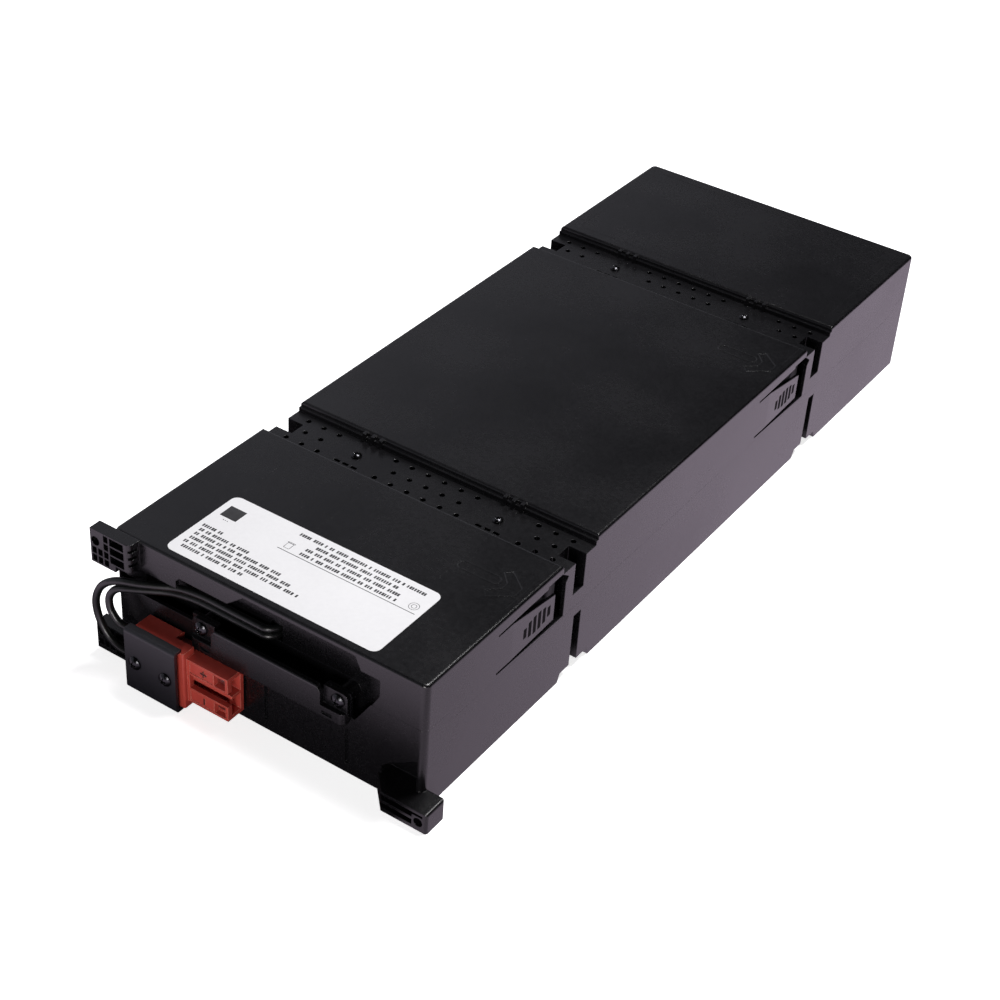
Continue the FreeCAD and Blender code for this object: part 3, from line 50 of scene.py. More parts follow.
def addNode(tree, kind, settings=None, **inputs):
    # makes a shader node; settings are its properties, inputs its socket values or links
    node = tree.nodes.new(kind)
    for key, value in (settings or {}).items():
        setattr(node, key, value)
    for key, value in inputs.items():
        socket = node.inputs[int(key[1:])] if key[0] == "i" and key[1:].isdigit() else node.inputs[key]
        if isinstance(value, bpy.types.NodeSocket):
            tree.links.new(value, socket)
        else:
            socket.default_value = value
    return node


def newGroup(name, inputs, outputs):
    # a shader node group with named sockets
    group = bpy.data.node_groups.new(name, "ShaderNodeTree")
    for label, kind, value in inputs:
        socket = group.interface.new_socket(name=label, in_out="INPUT", socket_type="NodeSocket" + kind)
        socket.default_value = value
    for label, kind in outputs:
        group.interface.new_socket(name=label, in_out="OUTPUT", socket_type="NodeSocket" + kind)
    return group, group.nodes.new("NodeGroupInput"), group.nodes.new("NodeGroupOutput")


def math2(tree, operation, first, second=0.0, clamp=False):
    # one sum of two values or sockets
    return addNode(tree, "ShaderNodeMath", {"operation": operation, "use_clamp": clamp},
                   i0=first, i1=second).outputs[0]


def mixColor(tree, share, first, second):
    # the first colour at share zero, the second at one; sockets 0, 6 and 7 are those of colours
    return addNode(tree, "ShaderNodeMix", {"data_type": "RGBA"},
                   i0=share, i6=first, i7=second).outputs[2]


def ramp(tree, value, start, end, low=0.0, high=1.0, kind="SMOOTHSTEP"):
    # low up to the start, high from the end on, and a smooth or straight climb between them
    node = addNode(tree, "ShaderNodeMapRange", {"interpolation_type": kind}, Value=value)
    for key, number in (("From Min", start), ("From Max", end), ("To Min", low), ("To Max", high)):
        node.inputs[key].default_value = number
    return node.outputs[0]


edgeSettings = {
    "samples": 4, "gain": 5.0,              # gain: how fast the mask fills as the edge rounds
    "patchScale": 160.0, "patchCut": 0.46,
}


def buildEdgeGroup(settings):
    # Mask is how far the rounded normal leans from the flat one, broken up by noise, so it is
    # one on a sharp edge and zero on a flat face. Normal is that rounded normal.
    group, start, end = newGroup("softEdges", [("Radius", "Float", 0.0005), ("Breakup", "Float", 0.5)],
                                 [("Mask", "Float"), ("Normal", "Vector")])
    bevel = addNode(group, "ShaderNodeBevel", {"samples": settings["samples"]},
                    Radius=start.outputs["Radius"])
    flat = addNode(group, "ShaderNodeNewGeometry")
    lean = addNode(group, "ShaderNodeVectorMath", {"operation": "DOT_PRODUCT"},
                   i0=bevel.outputs[0], i1=flat.outputs["Normal"])
    away = math2(group, "SUBTRACT", 1.0, lean.outputs["Value"])
    strong = math2(group, "MULTIPLY", away, settings["gain"], True)
    place = addNode(group, "ShaderNodeTexCoord")
    patches = addNode(group, "ShaderNodeTexNoise", None, Vector=place.outputs["Object"],
                      Scale=settings["patchScale"], Detail=3.0)
    chosen = math2(group, "GREATER_THAN", patches.outputs["Fac"], settings["patchCut"])
    worn = math2(group, "MULTIPLY", chosen, start.outputs["Breakup"])
    kept = math2(group, "SUBTRACT", 1.0, worn)
    group.links.new(math2(group, "MULTIPLY", strong, kept), end.inputs["Mask"])
    group.links.new(bevel.outputs[0], end.inputs["Normal"])
    return group


grainSettings = {
    "slowScale": 16.0, "speckScale": 420.0,
    "slowShare": 0.65, "speckShare": 0.35,  # of the tone
}


def buildGrainGroup(settings):
    # Height is fine spark-eroded grain plus a faint slow swell of the moulded wall.
    # Tone is slow mottling between zero and one, for colour and roughness.
    group, start, end = newGroup("mouldedGrain", [("Scale", "Float", 1400.0), ("Swell", "Float", 0.4)],
                                 [("Height", "Float"), ("Tone", "Float")])
    place = addNode(group, "ShaderNodeTexCoord")
    fine = addNode(group, "ShaderNodeTexNoise", None, Vector=place.outputs["Object"],
                   Scale=start.outputs["Scale"], Detail=2.0, Roughness=0.6)
    slow = addNode(group, "ShaderNodeTexNoise", None, Vector=place.outputs["Object"],
                   Scale=settings["slowScale"], Detail=3.0)
    speck = addNode(group, "ShaderNodeTexNoise", None, Vector=place.outputs["Object"],
                    Scale=settings["speckScale"], Detail=4.0)
    swell = math2(group, "MULTIPLY", slow.outputs["Fac"], start.outputs["Swell"])
    group.links.new(math2(group, "ADD", fine.outputs["Fac"], swell), end.inputs["Height"])
    blend = math2(group, "MULTIPLY", slow.outputs["Fac"], settings["slowShare"])
    rest = math2(group, "MULTIPLY", speck.outputs["Fac"], settings["speckShare"])
    group.links.new(math2(group, "ADD", blend, rest), end.inputs["Tone"])
    return group


dustSettings = {
    "speckScale": 240.0, "speckSize": 0.07,   # size: in the cells of the speck pattern
    "patchScale": 30.0, "patchCut": 0.63,
}


def buildDustGroup(settings):
    # Mask is sparse specks times the patches that hold dust times how far the face looks up
    group, start, end = newGroup("settledDust", [("Amount", "Float", 0.2)], [("Mask", "Float")])
    place = addNode(group, "ShaderNodeTexCoord")
    specks = addNode(group, "ShaderNodeTexVoronoi", {"feature": "F1"},
                     Vector=place.outputs["Object"], Scale=settings["speckScale"])
    near = math2(group, "LESS_THAN", specks.outputs["Distance"], settings["speckSize"])
    patches = addNode(group, "ShaderNodeTexNoise", None, Vector=place.outputs["Object"],
                      Scale=settings["patchScale"], Detail=2.0)
    some = math2(group, "GREATER_THAN", patches.outputs["Fac"], settings["patchCut"])
    flat = addNode(group, "ShaderNodeNewGeometry")
    upward = addNode(group, "ShaderNodeSeparateXYZ", None, Vector=flat.outputs["Normal"])
    facing = math2(group, "MULTIPLY", upward.outputs["Z"], 1.0, True)
    mask = math2(group, "MULTIPLY", math2(group, "MULTIPLY", near, some), facing)
    group.links.new(math2(group, "MULTIPLY", mask, start.outputs["Amount"]), end.inputs["Mask"])
    return group


recessSettings = {
    "samples": 2, "shut": 0.35, "open": 0.85,   # shares of free sky at which Open is zero and one
}


def buildRecessGroup(settings):
    # Open is one on faces that see far around them and zero down in slots and pockets
    group, start, end = newGroup("openFaces", [("Reach", "Float", 0.012)], [("Open", "Float")])
    # painted shade: this occlusion mask is what takes the coat, and with it the reflections, out of slots
    # and pockets
    around = addNode(group, "ShaderNodeAmbientOcclusion",
                     {"samples": settings["samples"], "only_local": True},
                     Distance=start.outputs["Reach"])
    share = ramp(group, around.outputs["AO"], settings["shut"], settings["open"])
    group.links.new(share, end.inputs["Open"])
    return group


edgeGroup = buildEdgeGroup(edgeSettings)
grainGroup = buildGrainGroup(grainSettings)
dustGroup = buildDustGroup(dustSettings)
recessGroup = buildRecessGroup(recessSettings)


def placeGroup(tree, group, **values):
    # a group in a material, with that material's own values
    node = addNode(tree, "ShaderNodeGroup", {"node_tree": group})
    for key, value in values.items():
        node.inputs[key].default_value = value
    return node


def rgb(color):
    # a colour with full alpha
    return (*color, 1.0)


def makeFinish(name, look):
    # colour mottles between two tones, lightens on edges (partly as wear, partly as a painted highlight)
    # and under dust; roughness follows the mottling; grain is a bump on the rounded normal
    material = bpy.data.materials.new(name)
    material.use_nodes = True
    tree = material.node_tree
    shader = tree.nodes["Principled BSDF"]
    grain = placeGroup(tree, grainGroup, Scale=look["grainScale"], Swell=look["swell"])
    edge = placeGroup(tree, edgeGroup, Radius=look["edgeRadius"], Breakup=look["breakup"])
    dust = placeGroup(tree, dustGroup, Amount=look["dust"])
    tone = ramp(tree, grain.outputs["Tone"], *look["toneRange"], kind="LINEAR")
    color = mixColor(tree, tone, rgb(look["color"]), rgb(look["secondColor"]))
    # painted highlight and wear: the edge mask lightens the colour along every rounded edge
    color = mixColor(tree, edge.outputs["Mask"], color, rgb(look["edgeWearAndHighlight"]))
    color = mixColor(tree, dust.outputs["Mask"], color, rgb(look["dustColor"]))
    tree.links.new(color, shader.inputs["Base Color"])
    rough = ramp(tree, grain.outputs["Tone"], *look["roughRange"], *look["rough"], "LINEAR")
    tree.links.new(rough, shader.inputs["Roughness"])
    bump = addNode(tree, "ShaderNodeBump", None, Strength=look["bump"], Distance=look["bumpDepth"],
                   Height=grain.outputs["Height"], Normal=edge.outputs["Normal"])
    tree.links.new(bump.outputs[0], shader.inputs["Normal"])
    shader.inputs["Metallic"].default_value = look["metallic"]
    shader.inputs["Specular IOR Level"].default_value = look["specular"]
    if look["polish"] > 0:
        # painted shade: the coat is full on open faces and taken away in slots and pockets by an
        # occlusion mask, so that recesses lose their reflections and look shaded
        recess = placeGroup(tree, recessGroup, Reach=look["reach"])
        weight = math2(tree, "MULTIPLY", recess.outputs["Open"], look["polish"])
        tree.links.new(weight, shader.inputs["Coat Weight"])
        shader.inputs["Coat Roughness"].default_value = look["polishRough"]
    return material


plainLook = {
    "color": (0.0032, 0.0031, 0.0037), "secondColor": (0.0052, 0.0050, 0.0060),
    "edgeWearAndHighlight": (0.010, 0.010, 0.012), "dustColor": (0.06, 0.058, 0.058),
    "toneRange": (0.35, 0.65), "roughRange": (0.3, 0.7),    # of the mottling that is spread out
    "rough": (0.20, 0.32), "grainScale": 1500.0, "swell": 0.35, "bump": 0.2, "bumpDepth": 0.0003,
    "edgeRadius": 0.0006, "breakup": 0.3, "dust": 0.05, "metallic": 0.0, "specular": 0.5,
    "polish": 0.22, "polishRough": 0.2, "reach": 0.010,
}

finishes = {
    "black_plastic": dict(plainLook),
    "red_plastic": dict(plainLook, color=(0.45, 0.055, 0.040), secondColor=(0.52, 0.068, 0.050),
                        edgeWearAndHighlight=(0.80, 0.32, 0.24), dustColor=(0.5, 0.3, 0.26), rough=(0.16, 0.26),
                        bump=0.1, edgeRadius=0.0004, breakup=0.25, dust=0.1),
    "black_sheet": dict(plainLook, color=(0.007, 0.0068, 0.010), secondColor=(0.010, 0.0097, 0.0135),
                        edgeWearAndHighlight=(0.022, 0.021, 0.026), rough=(0.38, 0.5), grainScale=2600.0,
                        bump=0.16, edgeRadius=0.0004, breakup=0.4, polish=0.3, polishRough=0.35),
    "black_screws": dict(plainLook, color=(0.035, 0.035, 0.038), secondColor=(0.06, 0.06, 0.065),
                         edgeWearAndHighlight=(0.35, 0.35, 0.36), rough=(0.16, 0.3), metallic=1.0,
                         grainScale=900.0, bump=0.12, edgeRadius=0.0003, dust=0.0, polish=0.0),
    "battery_case": dict(plainLook, color=(0.018, 0.018, 0.020), secondColor=(0.026, 0.026, 0.029),
                         edgeWearAndHighlight=(0.06, 0.06, 0.065), rough=(0.4, 0.55), dust=0.2, polish=0.0),
    "tab_metal": dict(plainLook, color=(0.62, 0.6, 0.55), secondColor=(0.72, 0.7, 0.66),
                      edgeWearAndHighlight=(0.85, 0.84, 0.8), rough=(0.22, 0.36), metallic=1.0, dust=0.0,
                      polish=0.0),
    "contact_metal": dict(plainLook, color=(0.66, 0.65, 0.62), secondColor=(0.78, 0.77, 0.75),
                          edgeWearAndHighlight=(0.9, 0.9, 0.88), rough=(0.18, 0.3), metallic=1.0, dust=0.0,
                          polish=0.0),
    "sleeve_nylon": dict(plainLook, color=(0.66, 0.63, 0.55), secondColor=(0.74, 0.71, 0.64),
                         edgeWearAndHighlight=(0.85, 0.83, 0.78), rough=(0.35, 0.5), dust=0.0, polish=0.0),
    "lead_sheath": dict(plainLook, color=(0.004, 0.0045, 0.0045), secondColor=(0.007, 0.008, 0.008),
                        edgeWearAndHighlight=(0.008, 0.008, 0.008), rough=(0.28, 0.4), grainScale=700.0,
                        bump=0.18, dust=0.05, polish=0.2, polishRough=0.25),
}

materials = {name: makeFinish(name, look) for name, look in finishes.items()}
for row in frame["record"]["subparts"]:
    node = frame["nodes"][row["node"]]
    node.data.materials.clear()
    node.data.materials.append(materials[row["material_slot"]])


def finishPiece(name, points, faces, material):
    # a mesh with its place in its vertices
    mesh = bpy.data.meshes.new(name)
    mesh.from_pydata(points.tolist(), [], faces)
    mesh.materials.append(material)
    piece = bpy.data.objects.new(name, mesh)
    bpy.context.scene.collection.objects.link(piece)
    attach(piece, "root")
    return piece


def roundedOutline(centre, size, radius, steps=7):
    # every corner is a quarter circle: its centre is the half size less the radius, in the
    # direction of that quarter, plus the radius times (cos, sin)
    quarter = np.repeat(np.arange(4), steps)
    angle = quarter * math.pi / 2 + np.tile(np.linspace(0, math.pi / 2, steps), 4)
    middle = quarter * math.pi / 2 + math.pi / 4
    around = np.stack((np.cos(angle), np.sin(angle)), 1)
    corner = np.sign(np.stack((np.cos(middle), np.sin(middle)), 1))
    half = np.array(size) / 2 - radius
    return np.array(centre) + corner * half + radius * around


def plate(name, outline, low, high, material):
    # an outline between two levels, closed above and below
    count = len(outline)
    points = np.concatenate([np.column_stack((outline, np.full(count, z))) for z in (low, high)])
    index = np.arange(count)
    after = (index + 1) % count
    sides = np.stack((index, after, after + count, index + count), 1).tolist()
    faces = sides + [index[::-1].tolist(), (index + count).tolist()]
    return finishPiece(name, points, faces, material)


def beads(name, outlines, width, low, high, material):
    # a low ridge along closed outlines: each point moves a share of the width along the
    # outline's own normal, the difference of its neighbours turned a quarter
    foot, top = 0.5, 0.25                   # shares of the width, from the middle of the ridge
    allPoints, allFaces, base = [], [], 0
    for outline in outlines:
        along = np.roll(outline, -1, 0) - np.roll(outline, 1, 0)
        along /= np.linalg.norm(along, axis=1)[:, None]
        normal = np.stack((along[:, 1], -along[:, 0]), 1)
        count = len(outline)
        rings = [np.column_stack((outline + normal * width * share, np.full(count, z)))
                 for share, z in ((foot, low), (top, high), (-top, high), (-foot, low))]
        index = np.arange(count)
        after = (index + 1) % count
        for ring in range(4):
            other = (ring + 1) % 4
            allFaces += (base + np.stack((index + ring * count, after + ring * count,
                                          after + other * count, index + other * count), 1)).tolist()
        allPoints += rings
        base += 4 * count
    return finishPiece(name, np.concatenate(allPoints), allFaces, material)


def boxes(name, spans, material, lean=None):
    # blocks from rows of x0, x1, y0, y1, z0, z1; lean is a function that says how far each
    # point moves along X
    spans = np.array(spans)
    pick = np.array([[x, y, z] for z in (4, 5) for x, y in ((0, 2), (1, 2), (1, 3), (0, 3))])
    points = spans[:, pick].reshape(-1, 3)
    if lean is not None:
        points[:, 0] += lean(points)
    corners = np.array([[3, 2, 1, 0], [4, 5, 6, 7], [0, 1, 5, 4],
                        [1, 2, 6, 5], [2, 3, 7, 6], [3, 0, 4, 7]])
    faces = (np.arange(len(spans))[:, None, None] * 8 + corners).reshape(-1, 4).tolist()
    return finishPiece(name, points, faces, material)


labelSettings = {
    # metres from the case's left side and front face
    "left": 0.0290, "right": 0.1575, "front": 0.0045, "rear": 0.0580,
    "corner": 0.0042, "thick": 0.00012, "ink": 0.00003,
    "filmSunk": 0.00005, "inkSunk": 0.00002,
    "square": (0.0329, 0.0430, 0.0408, 0.0499),
    "noteLines": ((0.0320, 0.0461), (0.0331, 0.0645), (0.0333, 0.0884), (0.0336, 0.0971),
                  (0.0330, 0.1044), (0.0348, 0.0742)),
    "noteTop": 0.0295, "notePitch": 0.00375,
    "headLines": ((0.0742, 0.1513), (0.0874, 0.1381), (0.0842, 0.1420), (0.0837, 0.1430)),
    "headTop": 0.0532, "headPitch": 0.00407,
    "letterHeight": 0.0021, "letterPitch": 0.00142,
    "letterWidths": (0.58, 0.84), "wordLengths": (2, 9),    # shares of the pitch; letters
    "rule": (0.0719, 0.1547, 0.0379, 0.0383),
    "dots": (0.0372, 0.0384, 0.0396), "dotLevel": 0.0387, "dotHalf": 0.00025,
    "bin": (0.0756, 0.0427), "ring": (0.1510, 0.0428), "signWidth": 0.00035,
    "binBody": ((0, -0.0004), (0.0034, 0.0042), 0.0005),    # place from its middle, size, corner
    "binLid": ((0, 0.0021), (0.0044, 0.0006), 0.0002), "binLidSteps": 3,
    "rings": (((0.0052, 0.0052), 0.0025), ((0.0026, 0.0026), 0.0012)),
    "seed": 5,
}
labelFilm = makeFinish("label_film", dict(
    plainLook, color=(0.80, 0.80, 0.81), secondColor=(0.85, 0.85, 0.86), edgeWearAndHighlight=(0.9, 0.9, 0.9),
    dustColor=(0.7, 0.68, 0.66), rough=(0.42, 0.52), grainScale=2400.0, swell=0.2, bump=0.05,
    bumpDepth=0.0001, edgeRadius=0.0001, breakup=0.2, dust=0.1, polish=0.0))
labelInk = makeFinish("label_ink", dict(
    plainLook, color=(0.02, 0.02, 0.022), secondColor=(0.035, 0.035, 0.038),
    edgeWearAndHighlight=(0.05, 0.05, 0.05), rough=(0.45, 0.6), bump=0.04, edgeRadius=0.00005, dust=0.0,
    polish=0.0))


def letterSpans(start, end, level, settings, random):
    # blocks one letter apart, of random width; each word of random length ends with a gap
    count = int((end - start) / settings["letterPitch"])
    places = start + np.arange(count) * settings["letterPitch"]
    wordEnds = np.cumsum(random.integers(*settings["wordLengths"], count))
    shown = ~np.isin(np.arange(count), wordEnds)
    shown[[0, -1]] = True
    places = places[shown]
    widths = random.uniform(*settings["letterWidths"], len(places)) * settings["letterPitch"]
    half = settings["letterHeight"] / 2
    level = np.full(len(places), level)
    return np.stack((places, places + widths, level - half, level + half), 1)


def buildLabel(settings):
    # a film with round corners; on it rows of blocks, a square, a rule and dots, each from its
    # two sides and its level, and thin signs
    random = np.random.default_rng(settings["seed"])
    corner = np.array([caseLeft, caseFront])
    size = (settings["right"] - settings["left"], settings["rear"] - settings["front"])
    centre = corner + np.array([settings["left"] + settings["right"],
                                settings["front"] + settings["rear"]]) / 2
    top = lidTop + settings["thick"]
    low, high = top - settings["inkSunk"], top + settings["ink"]
    outline = roundedOutline(centre, size, settings["corner"])
    plate("rating_label", outline, lidTop - settings["filmSunk"], top, labelFilm)
    spans = [np.array([settings["square"], settings["rule"]])]
    for block in ("note", "head"):
        for row, (start, end) in enumerate(settings[block + "Lines"]):
            level = settings[block + "Top"] - settings[block + "Pitch"] * row
            spans.append(letterSpans(start, end, level, settings, random))
    dot, level = settings["dotHalf"], settings["dotLevel"]
    spans.append(np.array([(x - dot, x + dot, level - dot, level + dot) for x in settings["dots"]]))
    flat = np.concatenate(spans) + corner.repeat(2)
    levels = np.tile((low, high), (len(flat), 1))
    boxes("label_print", np.concatenate((flat, levels), 1), labelInk)
    # a bin with its lid, and two rings, as plain thin outlines
    middle = corner + settings["bin"]
    place, size, radius = settings["binBody"]
    signs = [roundedOutline(middle + place, size, radius)]
    place, size, radius = settings["binLid"]
    signs.append(roundedOutline(middle + place, size, radius, settings["binLidSteps"]))
    for size, radius in settings["rings"]:
        signs.append(roundedOutline(corner + settings["ring"], size, radius))
    beads("label_signs", signs, settings["signWidth"], low, high, labelInk)


buildLabel(labelSettings)

signSettings = {
    # left, right, front and rear of each outline, from the case's left side and front face
    "window": (0.0295, 0.0775, 0.0603, 0.0993), "windowCorner": 0.0006,
    "panel": (0.1475, 0.1860, 0.0674, 0.1117), "panelCorner": 0.0008, "repeat": 0.2582,
    "rearLid": 0.1134, "rearInset": 0.0085, "rearCorner": 0.0010, "cornerSteps": 3,
    "lineWidth": 0.0004, "lineHeight": 0.00006, "sunk": 0.00004,
    "shaft": (0.0130, 0.0162, 0.0240, 0.0062),      # middle and size, from the panel's corner
    "shaftRound": 0.42,                             # corner of the shaft, as a share of its width
    "head": ((0.0220, 0.0066), (0.0257, 0.0030), (0.0365, 0.0118), (0.0365, 0.0184),
             (0.0257, 0.0270), (0.0225, 0.0238), (0.0285, 0.0175), (0.0285, 0.0127)),
    "signWidth": 0.0012, "signHeight": 0.00022,
}
signFinish = makeFinish("sign_plastic", dict(
    plainLook, color=(0.008, 0.008, 0.009), secondColor=(0.011, 0.011, 0.012), edgeRadius=0.00005,
    bump=0.05, dust=0.0))


def buildSigns(settings):
    # faint outlines on the lids: a bare window, a panel with a block arrow that points to the
    # latch, and a border round the rear lid
    def outline(x0, x1, y0, y1, radius):
        middle = (caseLeft + (x0 + x1) / 2, caseFront + (y0 + y1) / 2)
        return roundedOutline(middle, (x1 - x0, y1 - y0), radius, settings["cornerSteps"])

    low = lidTop - settings["sunk"]
    lines = [outline(*settings["window"], settings["windowCorner"])]
    inset = settings["rearInset"]
    rearLid = 2 * caseRear - settings["rearLid"]
    lines.append(outline(inset, 2 * caseRight - inset, rearLid + inset, 2 * caseRear - inset,
                         settings["rearCorner"]))
    signs = []
    x0, x1, y0, y1 = settings["panel"]
    shaft = settings["shaft"]
    for shift in (0.0, settings["repeat"]):
        lines.append(outline(x0, x1, y0 + shift, y1 + shift, settings["panelCorner"]))
        corner = np.array([caseLeft + x0, caseFront + y0 + shift])
        signs.append(roundedOutline(corner + shaft[:2], shaft[2:], shaft[3] * settings["shaftRound"]))
        signs.append(corner + np.array(settings["head"]))
    beads("lid_lines", lines, settings["lineWidth"], low, lidTop + settings["lineHeight"], signFinish)
    beads("lid_signs", signs, settings["signWidth"], low, lidTop + settings["signHeight"], signFinish)


buildSigns(signSettings)

gripSettings = {
    "strips": (0.1134, 0.3716),             # strip starts, from the front face
    "behind": 0.0209, "length": 0.0260, "height": 0.0105, "level": 0.0560, "count": 6,
    "share": 0.62, "proud": 0.00004, "deep": 0.0003,
    "slopeStart": 0.0434, "slopeLength": 0.0385, "slope": 0.0008,
}
# painted shade: a near-black matte finish with little reflection, for the shade in the grip grooves
shade = makeFinish("groove_shade", dict(
    plainLook, color=(0.0012, 0.0012, 0.0014), secondColor=(0.002, 0.002, 0.0022),
    edgeWearAndHighlight=(0.004, 0.004, 0.004), rough=(0.7, 0.85), dust=0.0, polish=0.0, specular=0.12))


def buildGrips(settings):
    # painted shade: thin dark matte plates where the grooves of the oval thumb grips lie in shade; rib
    # heights follow a half circle, and each plate lies on the finger, which leans inwards in a straight
    # line towards its free end
    count, pitch = settings["count"], settings["length"] / settings["count"]
    step = np.arange(count) + 0.5
    half = settings["height"] / 2 * np.sqrt(1 - (step / count * 2 - 1) ** 2)
    for side, sign in (("right", 1), ("left", -1)):
        rows = []
        for start in settings["strips"]:
            middle = caseFront + start - settings["behind"] + pitch * (step - count / 2)
            wide = pitch * settings["share"] / 2
            face = sorted((sign * (caseRight - settings["deep"]), sign * (caseRight + settings["proud"])))
            rows.append(np.column_stack((np.tile(face, (count, 1)), middle - wide, middle + wide,
                                         settings["level"] - half, settings["level"] + half)))

        def lean(points):
            starts = caseFront + np.array(settings["strips"]) - settings["slopeStart"]
            start = np.where(points[:, 1] < starts[1], starts[0], starts[1])
            share = (points[:, 1] - start) / settings["slopeLength"]
            return -sign * settings["slope"] * share
        boxes("grip_groove_shade_" + side, np.concatenate(rows), shade, lean)


polaritySettings = {
    "along": 0.04375, "back": 0.0024,       # from the connector's left end and front
    "apart": 0.00875,                       # of each mark from the middle of the connector's height
    "arm": 0.0019, "bar": 0.00038,          # half the length and half the width of a stroke
    "proud": 0.00006, "layer": 0.00001, "sunk": 0.0002,
}
marks = makeFinish("mark_shade", dict(
    plainLook, color=(0.035, 0.004, 0.003), secondColor=(0.05, 0.006, 0.005),
    edgeWearAndHighlight=(0.09, 0.02, 0.015), rough=(0.4, 0.6), dust=0.0, polish=0.0))


def buildPolarity(settings):
    # a plus and an upright bar on the two tongues of the connector: each stroke is a block
    # about its middle, and stands one layer prouder than the one before
    low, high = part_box("connector_housing")
    face, middle = low[1] + settings["back"], (low[2] + high[2]) / 2
    x, arm, bar = low[0] + settings["along"], settings["arm"], settings["bar"]
    upper, lower = middle + settings["apart"], middle - settings["apart"]
    strokes = [(x - arm, x + arm, bar, upper), (x - bar, x + bar, arm, upper),
               (x - bar, x + bar, arm, lower)]
    rows = []
    for place, (x0, x1, half, level) in enumerate(strokes):
        front = face - settings["proud"] - settings["layer"] * place
        rows.append((x0, x1, front, face + settings["sunk"], level - half, level + half))
    boxes("polarity_marks", rows, marks)


buildGrips(gripSettings)
buildPolarity(polaritySettings)
print("label, moulded signs, grips and polarity marks made")

floorSettings = {
    "size": 9.0, "color": (0.90, 0.90, 0.90), "rough": 0.9, "lift": 0.75,
    "reflectionColor": (0.97, 0.82, 1.0),
    # metres from the case's right side at which the painted reflection starts, is full, wanes and is weak
    "beside": (-0.012, 0.0), "far": (0.08, 0.42), "farLevel": 0.03,
    "along": (0.02, 0.3), "alongLevels": (0.58, 0.88),  # before the front; share of the rear half
    # the dark end of the front ramp is a painted shadow of the case, seen only in reflections
    "front": (0.085, 0.026), "frontLevel": 0.02,        # before the front, pale and then dark
}


def buildFloor(settings):
    # pale floor that keeps the shadow, a little lifted for the camera; in reflections only, the floor
    # glows as a painted reflection: bright to the right of the case, with a painted shadow of the case
    # close in front of it
    half = settings["size"] / 2
    points = np.array([[-half, -half, 0.0], [half, -half, 0.0], [half, half, 0.0], [-half, half, 0.0]])
    mesh = bpy.data.meshes.new("floor")
    mesh.from_pydata(points.tolist(), [], [[0, 1, 2, 3]])
    floor = bpy.data.objects.new("floor", mesh)
    bpy.context.scene.collection.objects.link(floor)
    material = bpy.data.materials.new("floor_paper")
    material.use_nodes = True
    tree = material.node_tree
    shader, output = tree.nodes["Principled BSDF"], tree.nodes["Material Output"]
    shader.inputs["Base Color"].default_value = rgb(settings["color"])
    shader.inputs["Roughness"].default_value = settings["rough"]
    shader.inputs["Specular IOR Level"].default_value = 0.0
    rays = addNode(tree, "ShaderNodeLightPath")
    lift = addNode(tree, "ShaderNodeEmission", None, Color=(1, 1, 1, 1))
    tree.links.new(math2(tree, "MULTIPLY", rays.outputs["Is Camera Ray"], settings["lift"]),
                   lift.inputs["Strength"])
    seen = addNode(tree, "ShaderNodeAddShader", None, i0=shader.outputs[0], i1=lift.outputs[0])
    place = addNode(tree, "ShaderNodeNewGeometry")
    axes = addNode(tree, "ShaderNodeSeparateXYZ", None, Vector=place.outputs["Position"])
    # beside the case: full from its right wall on, weaker far off and towards the front
    start, end = settings["beside"]
    beside = ramp(tree, axes.outputs["X"], caseRight + start, caseRight + end)
    start, end = settings["far"]
    far = ramp(tree, axes.outputs["X"], caseRight + start, caseRight + end, 1.0, settings["farLevel"])
    start, end = settings["along"]
    along = ramp(tree, axes.outputs["Y"], caseFront - start, caseRear * end, *settings["alongLevels"])
    right = math2(tree, "MULTIPLY", math2(tree, "MULTIPLY", beside, far), along)
    # in front of the case: dark close to the wall as a painted shadow of the case, pale further out
    start, end = settings["front"]
    front = ramp(tree, axes.outputs["Y"], caseFront - start, caseFront - end, 1.0,
                 settings["frontLevel"])
    level = math2(tree, "MAXIMUM", right, front)
    # painted reflection: this emission shows only to glossy and transmission rays
    paintedReflection = addNode(tree, "ShaderNodeEmission", None, Color=rgb(settings["reflectionColor"]), Strength=level)
    polished = math2(tree, "MAXIMUM", rays.outputs["Is Glossy Ray"], rays.outputs["Is Transmission Ray"])
    both = addNode(tree, "ShaderNodeMixShader", None, i0=polished, i1=seen.outputs[0],
                   i2=paintedReflection.outputs[0])
    tree.links.new(both.outputs[0], output.inputs["Surface"])
    mesh.materials.append(material)


worldSettings = {
    "color": (0.86, 0.86, 0.96), "pale": 0.42, "dim": 0.003,
    "upShare": 0.5, "paleUpTo": -0.32, "dimFrom": -0.10,
}


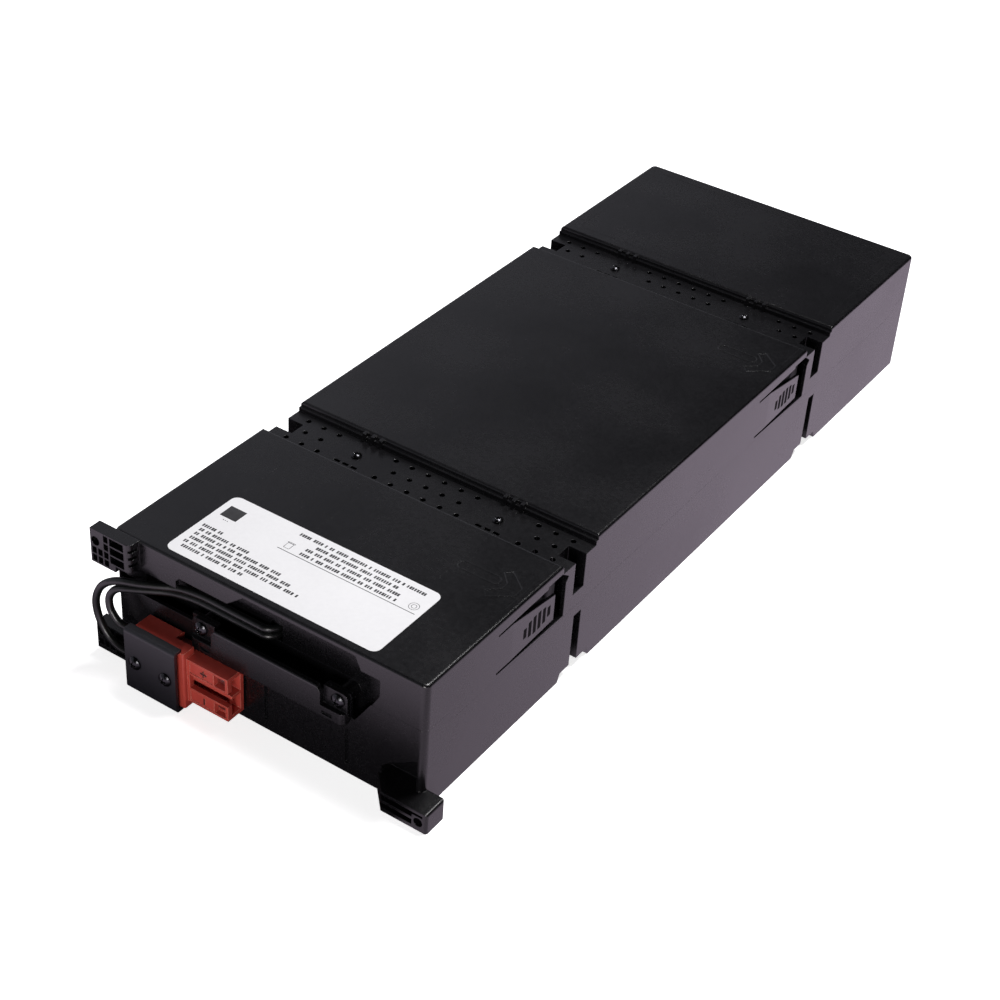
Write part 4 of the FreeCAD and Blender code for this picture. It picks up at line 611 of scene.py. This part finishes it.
def buildWorld(settings):
    # dim studio that grows paler towards the left and the horizon: its level falls from pale to
    # dim with the direction's X plus a share of its Z
    world = bpy.data.worlds.new("studio")
    bpy.context.scene.world = world
    world.use_nodes = True
    tree = world.node_tree
    background = tree.nodes["Background"]
    background.inputs["Color"].default_value = rgb(settings["color"])
    place = addNode(tree, "ShaderNodeTexCoord")
    axes = addNode(tree, "ShaderNodeSeparateXYZ", None, Vector=place.outputs["Generated"])
    up = math2(tree, "MULTIPLY", axes.outputs["Z"], settings["upShare"])
    lean = math2(tree, "ADD", axes.outputs["X"], up)
    level = ramp(tree, lean, settings["paleUpTo"], settings["dimFrom"], settings["pale"], settings["dim"])
    tree.links.new(level, background.inputs["Strength"])


lamps = {
    # the key hangs overhead and a little behind, so that the case shades what stands before it
    "keyBox": {"place": (0.25, 0.50, 1.85), "size": 0.7, "power": 40.0, "color": (1.0, 0.99, 1.0)},
    "frontBox": {"place": (0.50, -1.30, 0.30), "size": 0.4, "power": 6.0, "color": (1.0, 0.97, 0.96)},
}
lampAim = (0, -0.1, 0.03)


def buildLamp(name, lamp):
    # a square lamp whose back points away from the aim
    light = bpy.data.lights.new(name, "AREA")
    light.shape = "SQUARE"
    light.size = lamp["size"]
    light.energy = lamp["power"]
    light.color = lamp["color"]
    item = bpy.data.objects.new(name, light)
    bpy.context.scene.collection.objects.link(item)
    place = Vector(lamp["place"])
    turn = (place - Vector(lampAim)).to_track_quat("Z", "Y").to_matrix().to_4x4()
    item.matrix_world = Matrix.Translation(place) @ turn


cameraSettings = {
    "target": (0.0111, -0.0742, 0.0390), "distance": 1.0787, "azimuth": 31.96, "elevation": 36.02,
    "roll": 4.14, "lens": 71.83, "sensor": 36.0,
}


def buildCamera(settings):
    # the camera looks at its target: turned about the upright axis, then down, then rolled
    turn = (Matrix.Rotation(math.radians(settings["azimuth"]), 4, "Z")
            @ Matrix.Rotation(math.radians(90 - settings["elevation"]), 4, "X")
            @ Matrix.Rotation(math.radians(settings["roll"]), 4, "Z"))
    data = bpy.data.cameras.new("camera")
    data.lens = settings["lens"]
    data.sensor_width = settings["sensor"]
    camera = bpy.data.objects.new("camera", data)
    bpy.context.scene.collection.objects.link(camera)
    back = turn.to_3x3() @ Vector((0, 0, 1))
    place = Vector(settings["target"]) + back * settings["distance"]
    camera.matrix_world = Matrix.Translation(place) @ turn
    bpy.context.scene.camera = camera


buildFloor(floorSettings)
buildWorld(worldSettings)
for name, lamp in lamps.items():
    buildLamp(name, lamp)
buildCamera(cameraSettings)
bpy.context.scene.view_settings.view_transform = "Standard"
print("floor, light and camera made")
